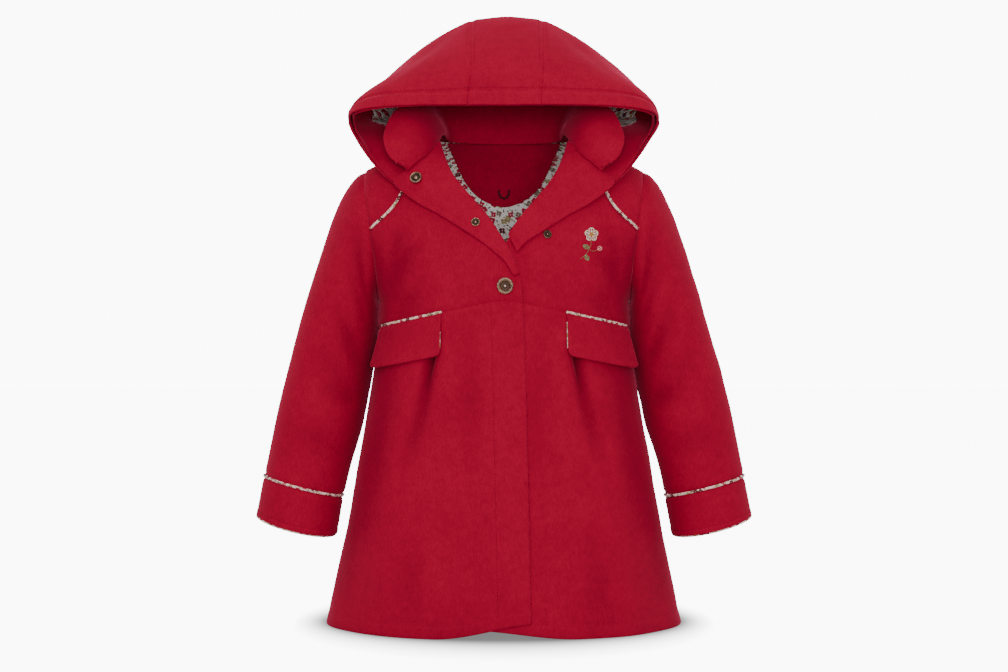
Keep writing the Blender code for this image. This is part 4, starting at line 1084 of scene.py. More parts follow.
def nap_effect():
    """Brushed wool: fine fibre grain, soft mottling and slow changes of shade, with painted shade darkening
    its folds.
    """
    tree, given, made = effect(
        "wool nap",
        [("Vector", "Vector"), ("Fold", "Float"), ("Deep", "Color"), ("Pale", "Color")],
        [("Colour", "Color"), ("Height", "Float"), ("Roughness", "Float")],
    )
    place = given["Vector"]
    grain = noise(tree, place, 1500.0, 2.0, 0.6)
    fibre = noise(tree, stretched(tree, place, (1.0, 1.0, 0.35)), 620.0, 3.0, 0.65)
    mottle = noise(tree, place, 120.0, 3.0, 0.6)
    broad = noise(tree, place, 16.0, 2.0)
    shade = maths(tree, "MULTIPLY", fibre, 0.34)
    for layer, weight in ((grain, 0.3), (mottle, 0.2), (broad, 0.16)):
        shade = maths(tree, "MULTIPLY_ADD", layer, weight, shade)
    share = ranged(tree, shade, 0.36, 0.64)
    lit = mixed(tree, share, given["Deep"], given["Pale"])
    # Painted shade: the fold input darkens the colour in creases, pleats and beside the sleeves
    shaded = maths(tree, "MULTIPLY_ADD", given["Fold"], -FOLD_SHADE, 1.0)
    lit = scaled(tree, lit, shaded)
    link(tree, lit, made, "Colour")
    link(tree, maths(tree, "MULTIPLY_ADD", grain, 0.4, maths(tree, "MULTIPLY", fibre, 0.6)), made, "Height")
    link(tree, ranged(tree, fibre, 0.3, 0.7, 0.82, 0.95), made, "Roughness")
    return tree


def weave_effect():
    """Plain woven cotton: two crossed rows of threads."""
    tree, given, made = effect(
        "cotton weave",
        [("Vector", "Vector"), ("Threads", "Float")],
        [("Height", "Float"), ("Shade", "Float")],
    )
    parts = add(tree, "ShaderNodeSeparateXYZ", {0: given["Vector"]})
    turns = []
    for label in ("X", "Y"):
        turned = maths(tree, "MULTIPLY", parts.outputs[label], given["Threads"])
        turns.append(maths(tree, "ABSOLUTE", maths(tree, "SINE", maths(tree, "MULTIPLY", turned, math.pi))))
    link(tree, maths(tree, "MULTIPLY", turns[0], turns[1]), made, "Height")
    slub = noise(tree, given["Vector"], 9.0, 3.0)
    link(tree, ranged(tree, slub, 0.3, 0.7, 0.9, 1.04), made, "Shade")
    return tree


def bloomed(tree, given, colour, layer):
    """One layer of blooms, leaves or dots over a colour: each lies in its own cell of a scattered pattern."""
    cells, radius, petals, depth, choices = layer
    scale = maths(tree, "MULTIPLY", given["Blooms"], cells)
    place = scaled(tree, given["Vector"], scale)
    warp = add(tree, "ShaderNodeTexNoise", {"Vector": place, "Scale": 2.2}).outputs["Color"]
    bent = scaled(tree, warp, 0.22)
    place = add(tree, "ShaderNodeVectorMath", {0: place, 1: bent}, operation="ADD").outputs[0]
    values = {"Vector": place, "Scale": 1.0, "Randomness": 0.85}
    cell = add(tree, "ShaderNodeTexVoronoi", values, voronoi_dimensions="2D")
    distance = cell.outputs["Distance"]
    local = add(tree, "ShaderNodeVectorMath", {0: place, 1: cell.outputs["Position"]}, operation="SUBTRACT")
    parts = add(tree, "ShaderNodeSeparateXYZ", {0: local.outputs[0]})
    turn_chance, size_chance, colour_chance = add(
        tree, "ShaderNodeSeparateColor", {0: cell.outputs["Color"]}).outputs
    turn = maths(tree, "ARCTAN2", parts.outputs["Y"], parts.outputs["X"])
    turn = maths(tree, "MULTIPLY_ADD", turn_chance, 6.28, turn)
    lobes = maths(tree, "COSINE", maths(tree, "MULTIPLY", turn, petals))
    size = maths(tree, "MULTIPLY", maths(tree, "MULTIPLY_ADD", size_chance, 0.35, 0.75), radius)
    reach = maths(tree, "MULTIPLY", size, maths(tree, "MULTIPLY_ADD", lobes, depth, 1.0))
    inside = ranged(tree, maths(tree, "SUBTRACT", reach, distance), -BLUR, BLUR)
    paint = given[choices[0][0]]
    for label, from_chance in choices[1:]:
        pick = maths(tree, "GREATER_THAN", colour_chance, from_chance)
        paint = mixed(tree, pick, paint, given[label])
    if petals == FLOWER_PETALS:
        eye = ranged(tree, maths(tree, "SUBTRACT", 0.05, distance), -0.02, 0.02)
        paint = mixed(tree, eye, paint, given["Ground"])
    return mixed(tree, inside, colour, paint)


def flower_effect():
    """A small scattered flower print: blooms in four colours, leaves and dots on a pale ground."""
    tree, given, made = effect(
        "flower print",
        [("Vector", "Vector"), ("Blooms", "Float")]
        + [(label, "Color") for label in ("Ground", *PRINT_COLOURS)],
        [("Colour", "Color")],
    )
    colour = given["Ground"]
    for layer in PRINT:
        colour = bloomed(tree, given, colour, layer)
    link(tree, colour, made, "Colour")
    return tree


def blank_material(name, values):
    """A material whose shader has these inputs; returns its tree and its shader."""
    look = bpy.data.materials.new(name)
    look.use_nodes = True
    shader = look.node_tree.nodes["Principled BSDF"]
    for label, value in values.items():
        shader.inputs[label].default_value = value
    return look.node_tree, shader


def bumped(tree, shader, height, strength, distance):
    bump = add(tree, "ShaderNodeBump", {"Strength": strength, "Distance": distance, "Height": height})
    link(tree, bump.outputs["Normal"], shader, "Normal")


def rgba(colour, factor=1.0):
    return tuple(min(c * factor, 1.0) for c in colour) + (1.0,)


def wool_material(name, nap, colour, sheen_tint):
    tree, shader = blank_material(name, {
        "Sheen Weight": bpy.context.scene.coat_colours.sheen, "Sheen Roughness": 0.4,
        "Sheen Tint": rgba(sheen_tint), "Specular IOR Level": 0.05,
    })
    # The attribute fold holds painted shade, by which the nap darkens the colour
    fold = add(tree, "ShaderNodeAttribute", attribute_name="fold").outputs["Fac"]
    values = {"Vector": own_place(tree), "Fold": fold, "Deep": rgba(colour, 0.8), "Pale": rgba(colour, 1.2)}
    group = add(tree, "ShaderNodeGroup", values, node_tree=nap).outputs
    link(tree, group["Colour"], shader, "Base Color")
    link(tree, group["Roughness"], shader, "Roughness")
    bumped(tree, shader, group["Height"], 0.35, WOOL_BUMP)


def print_material(name, weave, flowers, blooms, threads, ground):
    """Printed cotton; blooms and threads are how many of each there are in a unit of the pattern."""
    colours = bpy.context.scene.coat_colours
    values = {"Roughness": 0.85, "Sheen Weight": 0.1, "Specular IOR Level": 0.2}
    tree, shader = blank_material(name, values)
    place = add(tree, "ShaderNodeUVMap", uv_map="cloth").outputs[0]
    values = {label: rgba(getattr(colours, label.lower() + "_bloom")) for label in PRINT_COLOURS}
    values.update({"Vector": place, "Blooms": blooms, "Ground": rgba(ground)})
    printed = add(tree, "ShaderNodeGroup", values, node_tree=flowers).outputs
    woven = add(tree, "ShaderNodeGroup", {"Vector": place, "Threads": threads}, node_tree=weave).outputs
    link(tree, scaled(tree, printed[0], woven["Shade"]), shader, "Base Color")
    bumped(tree, shader, woven["Height"], 0.25, FINE_BUMP)


def flecked_material(name, grain, low, dark, pale, values, polish=None, stretch=None, bump=0.0):
    """A thread, metal or horn that varies between two colours.

    grain is the scale, detail and roughness of the flecks, low where they start, and polish the roughness
    at both ends.
    """
    tree, shader = blank_material(name, values)
    place = own_place(tree)
    if stretch:
        place = stretched(tree, place, stretch)
    fleck = noise(tree, place, *grain)
    link(tree, mixed(tree, ranged(tree, fleck, low, 1.0 - low), dark, pale), shader, "Base Color")
    if polish:
        link(tree, ranged(tree, fleck, 0.3, 0.7, *polish), shader, "Roughness")
    if bump:
        bumped(tree, shader, fleck, bump, FINE_BUMP)


def thread_material(name, colour):
    values = {"Roughness": 0.7, "Sheen Weight": 0.02, "Specular IOR Level": 0.1}
    flecked_material(name, (1800.0, 2.0), 0.35, rgba(colour, 0.75), rgba(colour, 1.15), values, bump=0.3)


def looks():
    """Every material of the coat by its plain name, made once."""
    if "brushed_wool" in bpy.data.materials:
        return bpy.data.materials
    colours = bpy.context.scene.coat_colours
    nap, weave, flowers = nap_effect(), weave_effect(), flower_effect()
    wool_material("brushed_wool", nap, colours.wool, colours.nap_tint)
    print_material("flowered_cotton", weave, flowers, 1.05, 24.0, colours.ground)
    print_material("piping_cotton", weave, flowers, 1.5, 30.0, colours.piping_ground)
    flecked_material(
        "aged_brass", (420.0, 4.0, 0.65), 0.38, rgba(colours.brass, 0.35), rgba(colours.brass),
        {"Metallic": 1.0}, polish=(0.5, 0.27), bump=0.2)
    flecked_material(
        "polished_horn", (160.0, 4.0, 0.6), 0.38, rgba(colours.horn, 0.3), rgba(colours.horn, 1.5),
        {"Coat Weight": 0.4}, polish=(0.22, 0.4), stretch=(1.0, 1.0, 3.0))
    # In the dished middle of a button or snap
    flecked_material(
        "dark_patina", (700.0, 3.0, 0.6), 0.35, (0.03, 0.012, 0.008, 1.0), (0.085, 0.04, 0.024, 1.0),
        {"Metallic": 0.7}, polish=(0.38, 0.6))
    thread_material("wool_thread", tuple(c * 0.62 for c in colours.wool))
    for name, colour in THREADS.items():
        thread_material(name, colour)
    return bpy.data.materials


# Sizes and colours that a user may change

def colour_of(label, about, default):
    return FloatVectorProperty(
        name=label, description=about, subtype="COLOR", size=3, min=0, max=1, default=default)


def number(label, about, default, low, high, **kind):
    return FloatProperty(name=label, description=about, default=default, min=low, max=high, **kind)


def span(label, about, default, low, high):
    return number(label, about, default, low, high, subtype="DISTANCE", unit="LENGTH")


class CoatColours(bpy.types.PropertyGroup):
    """Colours of the cloths and fasteners."""
    wool: colour_of("Wool", "Colour of the brushed wool", (0.325, 0.0036, 0.0252))
    nap_tint: colour_of("Nap", "Tint of the wool's raised fibres at a grazing angle", (0.95, 0.10, 0.22))
    ground: colour_of("Print ground", "Ground of the printed cotton", (0.80, 0.76, 0.72))
    piping_ground: colour_of("Piping ground", "Ground of the printed piping", (0.95, 0.66, 0.58))
    red_bloom: colour_of("Red blooms", "Largest flowers of the print", (0.42, 0.008, 0.04))
    maroon_bloom: colour_of("Maroon blooms", "Dark flowers of the print", (0.12, 0.012, 0.02))
    taupe_bloom: colour_of("Taupe blooms", "Brown flowers of the print", (0.2, 0.14, 0.1))
    olive_bloom: colour_of("Olive leaves", "Yellowish leaves of the print", (0.34, 0.27, 0.12))
    grey_bloom: colour_of("Grey leaves", "Dark leaves of the print", (0.08, 0.08, 0.085))
    brass: colour_of("Brass", "Snaps", (0.50, 0.34, 0.22))
    horn: colour_of("Horn", "Front button", (0.20, 0.105, 0.055))
    sheen: number("Sheen", "Strength of the nap's sheen", 0.42, 0.0, 1.0)


class CoatSizes(bpy.types.PropertyGroup):
    """Sizes of the cloth's finer form and of its stitches."""
    crease_strength: number("Creases", "Strength of the creases placed by hand", 1.0, 0.0, 3.0)
    unevenness: number("Unevenness", "Slight waviness of hung cloth", 0.7, 0.0, 3.0)
    pleat_depth: number("Pleat depth", "Depth of the pleats below the flaps, in millimetres", 9.0, 0.0, 14.0)
    seam_depth: number("Seam depth", "How far the cloth sinks at a seam, in millimetres", 1.0, 0.0, 2.0)
    seam_reach: number("Seam reach", "How far from a seam the cloth sinks, in millimetres", 2.4, 0.5, 10.0)
    stitch_length: span("Stitch length", "Length of one stitch", 0.0024, 0.001, 0.01)
    stitch_gap: span("Stitch gap", "Cloth between two stitches", 0.0008, 0.0002, 0.01)
    stitch_thickness: span("Thread", "Thickness of the sewing thread", 0.00042, 0.0001, 0.002)
    button_sides: IntProperty(
        name="Button sides", description="Faces round a button", default=56, min=16, max=128)


class StageSizes(bpy.types.PropertyGroup):
    """Places of the camera and powers of the lights."""
    distance: span("Camera distance", "From the coat's middle to the camera", 1.8, 0.5, 5.0)
    camera_height: span("Camera height", "Height of the camera over the origin", -0.176, -1.0, 1.0)
    frame_width: span("Frame width", "Width of the view at the coat's middle", 1.038, 0.3, 3.0)
    backdrop: number("Backdrop", "Brightness of the floor and backdrop", 10.0, 0.0, 20.0)
    key: number("Key light", "Power of the front light", 18.0, 0.0, 500.0)
    front: number("Front light", "Power of the low front light", 47.0, 0.0, 500.0)
    top: number("Top light", "Power of the overhead light", 13.0, 0.0, 500.0)
    rim: number("Side lights", "Power of the side lights", 11.0, 0.0, 500.0)
    fill: number("Fill", "Brightness of the room", 0.42, 0.0, 3.0)


# Stitching and embroidery

def stitch_tree():
    """Short stitches set along the edges of a line mesh, which has the cloth's outward direction on it."""
    tree, given, made = effect(
        "stitch run",
        [("Geometry", "Geometry"), ("Stitch length", "Float"), ("Gap", "Float"), ("Thickness", "Float")]
        + [("Seed", "Int"), ("Thread", "Material")],
        [("Geometry", "Geometry")], "GeometryNodeTree",
    )
    line = add(tree, "GeometryNodeMeshToCurve", {0: given["Geometry"]}).outputs[0]
    step = maths(tree, "ADD", given["Stitch length"], given["Gap"])
    even = add(tree, "GeometryNodeResampleCurve", {"Curve": line, "Length": step}, mode="LENGTH").outputs[0]
    bead = add(tree, "GeometryNodeMeshIcoSphere", {"Radius": 0.5, "Subdivisions": 1}).outputs["Mesh"]
    tangent = tree.nodes.new("GeometryNodeInputTangent").outputs[0]
    turned = add(tree, "FunctionNodeAlignRotationToVector", {"Vector": tangent}, axis="X").outputs[0]
    slant = add(
        tree, "FunctionNodeRandomValue", {"Min": (-0.05, -0.05, -0.09), "Max": (0.05, 0.05, 0.09)},
        data_type="FLOAT_VECTOR")
    link(tree, given["Seed"], slant, "Seed")
    tilt = add(tree, "FunctionNodeEulerToRotation", {0: slant.outputs["Value"]}).outputs[0]
    turned = add(tree, "FunctionNodeRotateRotation", {0: turned, 1: tilt}, rotation_space="LOCAL").outputs[0]
    size = add(tree, "ShaderNodeCombineXYZ", {
        "X": given["Stitch length"], "Y": given["Thickness"], "Z": given["Thickness"],
    }).outputs[0]
    run = add(
        tree, "GeometryNodeInstanceOnPoints",
        {"Points": even, "Instance": bead, "Rotation": turned, "Scale": size}).outputs[0]
    solid = add(tree, "GeometryNodeRealizeInstances", {0: run}).outputs[0]
    soft = add(tree, "GeometryNodeSetShadeSmooth", {0: solid}).outputs[0]
    values = {"Geometry": soft, "Material": given["Thread"]}
    link(tree, add(tree, "GeometryNodeSetMaterial", values).outputs[0], made, 0)
    return tree


def stitched(name, lines, look, length, gap, thickness, seed):
    """Stitches along lines of points, as one plain mesh."""
    points, edges = [], []
    for line in lines:
        first = len(points)
        points += (np.asarray(line, float) * MM).tolist()
        edges += [(i, i + 1) for i in range(first, len(points) - 1)]
    mesh = bpy.data.meshes.new(name + "_lines")
    mesh.from_pydata(points, edges, [])
    carrier = placed(name + "_lines", mesh)
    modifier = carrier.modifiers.new("stitches", "NODES")
    modifier.node_group = stitch_tree()
    values = {"Stitch length": length, "Gap": gap, "Thickness": thickness, "Seed": seed, "Thread": look}
    for socket in modifier.node_group.interface.items_tree:
        if socket.name in values:
            modifier[socket.identifier] = values[socket.name]
    depsgraph = bpy.context.evaluated_depsgraph_get()
    result = bpy.data.meshes.new_from_object(carrier.evaluated_get(depsgraph))
    result.name = name
    bpy.data.objects.remove(carrier)
    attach(placed(name, result), "root")


def on_cloth(side, x, z, skirt, over):
    """Places just over the cloth of a front panel, x growing towards its own side."""
    angle = side * angle_of(x, z)
    seed = BODICE_SEED + skirt + (side > 0) * LEFT_SEED
    height = creased(SKIRT_CREASES if skirt else FRONT_CREASES, x, z) + unevenness(bare_body(angle, z), seed)
    if skirt:
        height = height + flute(angle, z) + pleat(angle, z)
    if side > 0:
        height = height - covered(x, z)
    return on_body(angle, z, height + over)


# The pieces

def make_back():
    lower = back_rows(spread(HEM_Z, WAIST_SIDE_Z - SEAM / 2, 130), 170, SEAM / 2)
    edges = {"bottom": "turned", "top": "sewn", "start": "sewn", "end": "sewn"}
    body_piece("skirt_back", lower, 1.0, flute(lower[..., 0], lower[..., 1]), edges, BACK_CREASES, 31)
    edges = dict.fromkeys(edges, "sewn")
    body_piece("bodice_back", bodice_back_grid(), 1.0, 0.0, edges, BACK_CREASES, 32, False)


def lap(side, grid):
    """How the cloth of a front is raised where the fronts lap: the left one lies inside the right one."""
    angle, z = grid[..., 0], grid[..., 1]
    return -covered(bare_body(angle, z)[..., 0], z) if side > 0 else 0.0


def make_fronts():
    for name, side in SIDES:
        seed = BODICE_SEED + (side > 0) * LEFT_SEED
        edges = {"bottom": "sewn", "top": "sewn", "end": "sewn", "start": "stitched"}
        grid = bodice_front_grid(side)
        body_piece("bodice_front_" + name, grid, side, lap(side, grid), edges, FRONT_CREASES, seed)
        grid = skirt_front_grid(side)
        angle, z = side * grid[..., 0], grid[..., 1]
        lift = flute(angle, z) + pleat(angle, z) + lap(side, grid)
        edges["bottom"] = "turned"
        body_piece("skirt_front_" + name, grid, side, lift, edges, SKIRT_CREASES, seed + 1)
        edges = {"bottom": "sewn", "top": "sewn", "end": "sewn"}
        body_piece("yoke_" + name, yoke_grid(), side, 0.0, edges, FRONT_CREASES, seed + 2)


def make_sleeve(name, side):
    fractions = np.concatenate([spread(0.0, 0.12, 34)[:-1], spread(0.12, 1.0, 110)])
    down = fractions[:, None]
    turn = np.arange(SLEEVE_COLUMNS)[None, :] * 360.0 / SLEEVE_COLUMNS
    points = sleeve_grid(SLEEVE, fractions, side, SLEEVE_COLUMNS)
    # The head lies along the armhole's edge, and the sleeve touches the body just under the arm
    head = points[0]
    far = side * head[:, 0] - half_width(np.minimum(head[:, 2], SHOULDER_TIP_Z)) - SEAM
    points[..., 0] -= side * far * ease(1.0 - down / SLEEVE_HEAD)
    under_arm = hill(points[..., 2] - UNDER_ARM_Z, UNDER_ARM_HALF) * hill(turn - INNER_TURN, UNDER_ARM_TURN)
    points[..., 0] -= side * UNDER_ARM_SHIFT * under_arm
    over = creased(SLEEVE_CREASES, turn, down, SLEEVE_STRETCH)
    over = over * ease(down / 0.1) * ease((1.02 - down) / 0.08)
    # Painted shade: the inner side, which faces the body, and the creases are darker
    inside = hill(turn - INNER_TURN, INNER_HALF) * ease((0.95 - down) / 0.5)
    fold = np.maximum(painted_fold_shade(over * 1.8), 0.95 * inside)
    over = over + unevenness(points, 41 if side < 0 else 42)
    points = laid(points, side, {"bottom": "sewn", "top": "sewn"}, over, True)
    # The allowance at the head adds two rows
    into, aside = SLEEVE_ALLOWANCE
    way = unit(points[0].mean(0) - points[0]) * into - np.array([side * aside, 0.0, 0.0])
    points = tucked(points, "bottom", way)
    fold = np.concatenate([fold[:1], fold[:1], fold])
    cloth("sleeve_" + name, points, WOOL, side=side, closed=True, lined=True, fold=fold)


def make_sleeves():
    for name, side in SIDES:
        make_sleeve(name, side)
        points = sleeve_grid(CUFF, spread(0.0, 1.0, 34), side, SLEEVE_COLUMNS, CUFF_FRONT_DROP)
        edges = {"bottom": "sewn", "top": "stitched"}
        points = laid(points, side, edges, unevenness(points, 43) * 0.6, True)
        cloth("cuff_" + name, points, WOOL, side=side, closed=True, lined=True)


def hood_cloth(node, across, along, over, thick, edges, tuck=0.0, pull=0.0, look="brushed_wool"):
    """A panel of the hood on a grid; tuck is the side of a panel whose base is sewn into the neck.

    pull moves a lining in from the sharp fold at the hood's widest place.
    """
    across, along = np.broadcast_arrays(across[None], along if along.ndim == 2 else along[:, None])
    base = hood_point(across, along)
    over = over + creased(HOOD_CREASES, across, along) + unevenness(base, HOOD_SEED)
    points = on_hood(across, along, over)
    if "rim" in edges:
        rise = lengths(points, 0)
        fold = 1.3 * ease((RIM_BAND - rise) / 5.0) - 0.7 * hill(rise - RIM_BAND, 1.6)
        points = points + hood_out(across, along) * fold[..., None]
    edges = {side: finish for side, finish in edges.items() if side != "rim"}
    points = laid(points, 1.0, edges)
    if pull:
        ridge = hill(np.abs(across) - HOOD_WIDEST_SHARE, 0.06) + 0.25
        points = points + unit(HOOD_MIDDLE - points) * (pull * ridge)[..., None]
    if tuck:
        low = ease((along[:, 0] - 0.3) / 0.2)[:, None] * HOOD_ALLOWANCE * (tuck, 1.0, 1.0)
        points = tucked(points, "end" if tuck > 0 else "start", low)
    cloth(node, points, thick, look)


def facing_end(across):
    """Where the wool facing inside the rim ends: narrow over the crown and deep at the sides."""
    return FACING_CROWN + FACING_SIDES * ease((np.abs(across) - 0.48) / 0.14)


def make_hood():
    alongs = np.concatenate([spread(0.0, 0.14, 44)[:-1], spread(0.14, 1.0, 110)])
    seam = HOOD_CENTRE_SHARE + HOOD_SEAM_SHARE
    flank = np.concatenate([spread(seam, 0.60, 58)[:-1], spread(0.60, 0.70, 24)[:-1], spread(0.70, 1.0, 44)])
    for name, side in SIDES:
        edges = {"rim": "fold", "start" if side > 0 else "end": "sewn", "top": "sewn"}
        hood_cloth("hood_side_" + name, np.sort(side * flank), alongs, 0.0, WOOL, edges, tuck=side)
    middle = spread(HOOD_SEAM_SHARE - HOOD_CENTRE_SHARE, HOOD_CENTRE_SHARE - HOOD_SEAM_SHARE, 60)
    hood_cloth("hood_centre", middle, alongs, 0.0, WOOL, {"rim": "fold", "start": "sewn", "end": "sewn"})
    whole = np.concatenate([np.sort(-flank)[1:], middle[1:-1], flank[:-1]])
    split = facing_end(whole)[None]
    rim = split * spread(0.0, 1.0, 36)[:, None]
    hood_cloth("hood_rim_facing", whole, rim, -WOOL - 0.1, FACING, {"top": "stitched"}, pull=1.2)
    deep = split + 0.006 + (HOOD_LINING_END - split) * spread(0.0, 1.0, 90)[:, None]
    hood_cloth(
        "hood_lining", whole, deep, LINING_RISE - WOOL, LINING, {}, pull=4.0, look="flowered_cotton")


def make_collar():
    along, up = np.meshgrid(spread(-1.0, 1.0, 300), spread(0.0, 1.0, 44))
    near = collar_point(along, up)
    edges = {"top": "stitched", "start": "stitched", "end": "stitched"}
    points = laid(near, 1.0, edges, WOOL + unevenness(near, 61) * 0.8)
    low = ease((0.72 - np.abs(along[0])) / 0.2)[:, None] * COLLAR_ALLOWANCE
    points = tucked(points, "bottom", low - np.array([0.0, 0.0, 0.05]))
    cloth("collar", points, WOOL)
    for name, side in SIDES:
        points = lapel_grid(UPPER_LAPEL if side < 0 else UNDER_LAPEL, side, 110, 44)
        points = laid(points, -side, {"end": "stitched"}, unevenness(points, 62) * 0.7)
        cloth("lapel_" + name, points, LAPEL_WOOL, side=-side)


def make_linings():
    grid = bodice_back_grid(110)[:-2, 3:-3]
    angle, z = grid[..., 0], grid[..., 1]
    points = on_body(angle, z, -WOOL - LINING_SINK + unevenness(bare_body(angle, z), LINING_SEED))
    cloth("back_lining", points, LINING, "flowered_cotton")
    z, half = through(BACK_FACING, 60).T
    half_angle = np.degrees(np.arcsin((half / ring(z, True)[0]) ** (1 / BODY_ROUND)))
    angle = BACK + half_angle[:, None] * spread(-1.0, 1.0, 90)
    z = np.broadcast_to(z[:, None], angle.shape)
    over = unevenness(bare_body(angle, z), LINING_SEED) - WOOL - LINING - FACING_SINK
    cloth("back_neck_facing", on_body(angle, z, over), FACING)
    turn = spread(0.0, math.pi, 40)
    drop = np.sin(turn)
    path = on_body(BACK + LOOP_TURN * np.cos(turn), LOOP_TOP_Z - LOOP_LENGTH * drop, LOOP_OVER - drop)
    cord("neck_loop", "", path, LOOP_RADIUS, "maroon_cord", 8)


def make_flaps():
    for name, side in SIDES:
        angle, z, lift = flap_grid()
        place = bare_body(side * angle, z)
        points = on_body(side * angle, z, lift + unevenness(place, 81 if side < 0 else 82) * 0.6)
        points = laid(points, side, {"start": "stitched", "end": "stitched", "bottom": "stitched"})
        cloth("pocket_flap_" + name, points, WOOL, side=side)
        start, stand = EDGINGS[name]
        share = spread(start, 1.0, 30)
        z = waist(FLAP_INNER_X) - EDGING_TOP - (FLAP_DEPTH - EDGING_FOOT) * share
        path = on_front(side, FLAP_INNER_X - stand, z, EDGING_LIFT + EDGING_RISE * share)
        cord("flap_edging", "_" + name, path, EDGING_RADIUS, sides=8)
        radius, over = FLAP_PIPING
        x = spread(FLAP_INNER_X - 1.0, FLAP_OUTER_X, 44)
        cord("flap_piping", "_" + name, on_front(side, x, waist(x), over), radius, seed=83)


def make_pipings():
    for name, side in SIDES:
        radius, over = YOKE_PIPING
        x, z = smooth(YOKE_SEAM, spread(0.02, 0.99, 80)).T
        cord("yoke_piping", "_" + name, on_front(side, x, z, over), radius, seed=91)
        radius, inside = CUFF_PIPING
        ends = sleeve_grid(SLEEVE, np.ones(1), side, 96)[0], sleeve_grid(CUFF, np.zeros(1), side, 96)[0]
        path = (ends[0] + ends[1]) / 2
        path = path + unit(path.mean(0) - path) * inside
        cord("cuff_piping", "_" + name, path, radius, sides=8, closed=True)
        radius, inside = CUFF_EDGING
        low = sleeve_grid(CUFF, np.ones(1), side, 96, CUFF_FRONT_DROP)[0]
        path = low + unit(low.mean(0) - low) * inside + np.array([side * 0.3, 0.0, -1.45])
        cord("cuff_edging", "_" + name, path, radius, sides=8, closed=True)


def turned(name, place, profile, look, sides, dish):
    """A turned piece on the body: profile is (radius, height) from the middle of its back to its front.

    The front between the two radii of dish is dark with patina.
    """
    x, z, base = place
    centre = on_body(angle_of(x, z), z, base + SEAM)
    axis = body_out(angle_of(x, z), np.asarray(z))
    across = unit(np.cross(axis, (0.0, 0.0, 1.0)))
    up = np.cross(across, axis)
    turns = np.arange(sides) * 2 * math.pi / sides
    around = across * np.cos(turns)[:, None] + up * np.sin(turns)[:, None]
    radius, height = profile[1:-1].T
    rings = centre + around[None] * radius[:, None, None] + axis * height[:, None, None]
    piece = tube(name, rings, centre + axis * profile[[0, -1], 1][:, None], look)
    piece.data.materials.append(looks()["dark_patina"])
    between = (radius[:-1] + radius[1:]) / 2
    dark = (between > dish[0]) & (between < dish[1]) & (np.arange(len(between)) >= radius.argmax())
    marks = np.zeros(len(piece.data.polygons), np.int32)
    marks[:len(between) * sides] = np.repeat(dark, sides)
    piece.data.polygons.foreach_set("material_index", marks)
    return piece


def make_fasteners():
    sides = bpy.context.scene.coat_sizes.button_sides
    for node, (part, look, slot, dish, rows) in FASTENER_PROFILES.items():
        profile = through(rows, (len(rows) - 1) * PROFILE_STEPS)
        piece = turned(node + part, FASTENERS[node], profile, looks()[look], sides, dish)
        dressed(piece, node)


def make_stitching():
    sizes = bpy.context.scene.coat_sizes
    lines = []
    for _, side in SIDES:
        if side < 0:
            z = spread(HEM_Z + 22.0, WAIST_CENTRE_Z - 5.0, 160)
            x = smooth(UPPER_EDGE, z)[..., 0] + PLACKET
            lines.append(on_cloth(side, x, z, True, 0.1))
        x = spread(-18.0, 158.0, 160)
        z = hem(x, side) + HEM_STITCHES
        lines.append(on_cloth(side, x, z, True, -0.2))
        points = sleeve_grid(CUFF, np.full(1, 0.87), side, SLEEVE_COLUMNS, CUFF_FRONT_DROP)[0]
        ringed = points + unit(points - points.mean(0)) * 0.15
        lines.append(np.concatenate([ringed, ringed[:1]]))
        along = spread(0.15, 0.97, 200)
        for share in (HOOD_CENTRE_SHARE + 0.010, HOOD_CENTRE_SHARE - 0.024):
            lines.append(hood_line(side * np.full_like(along, share), along))
    across, near = spread(-0.985, 0.985, 400), spread(0.0, 0.25, 50)
    rise = lengths(hood_point(across[None], near[:, None]), 0)
    along = np.array([np.interp(RIM_BAND + 2.4, rise[:, k], near) for k in range(len(across))])
    lines.append(hood_line(across, along))
    stitched(
        "topstitching", lines, looks()["wool_thread"], sizes.stitch_length, sizes.stitch_gap,
        sizes.stitch_thickness, 7)


def hood_line(across, along):
    """A line on the creased surface of the hood."""
    lift = creased(HOOD_CREASES, across, along) + unevenness(hood_point(across, along), HOOD_SEED)
    return on_hood(across, along, lift)


def on_chest(x, z, over=0.35):
    return on_cloth(1.0, np.asarray(x, float), np.asarray(z, float), False, over)


def satin_leaf(x, z, turn, long, wide, count):
    """Slanted satin stitches that fill a leaf or petal from its foot at (x, z)."""
    lines, way = [], math.radians(turn)
    for share in spread(0.08, 0.95, count):
        half = wide * math.sin(math.pi * share ** 0.8)
        foot = share * long
        for sign in (-1.0, 1.0):
            out, aside = np.array([foot, foot + 0.35 * half]), np.array([0.0, sign * half])
            across = x + out * math.cos(way) - aside * math.sin(way)
            lines.append(on_chest(across, z + out * math.sin(way) + aside * math.cos(way)))
    return lines


def make_embroidery():
    """A small made-up sprig on the left front: a five-petal bloom on a stem, a bud and two leaves."""
    petals, hairs = [], []
    x, z = BLOOM
    for turn in 90.0 + 72.0 * np.arange(5):
        way = math.radians(turn)
        foot = x + PETAL_FOOT * math.cos(way), z + PETAL_FOOT * math.sin(way)
        petals += satin_leaf(*foot, turn, *PETAL)
    reach = np.array(HAIR_ENDS)
    for turn in spread(0.0, 330.0, 11):
        way = math.radians(turn)
        hairs.append(on_chest(x + reach * math.cos(way), z + reach * math.sin(way), 0.6))
    green = [on_chest(*rounded_path(stem, 0.8).T) for stem in STEMS]
    for leaf in LEAVES:
        green += satin_leaf(*leaf)
    threads = {"blush": satin_leaf(*BUD), "sage": green, "ochre": hairs, "cream": petals}
    for label, lines in threads.items():
        stitched("embroidery_" + label, lines, looks()[label + "_thread"], *EMBROIDERY_STITCH, 5)


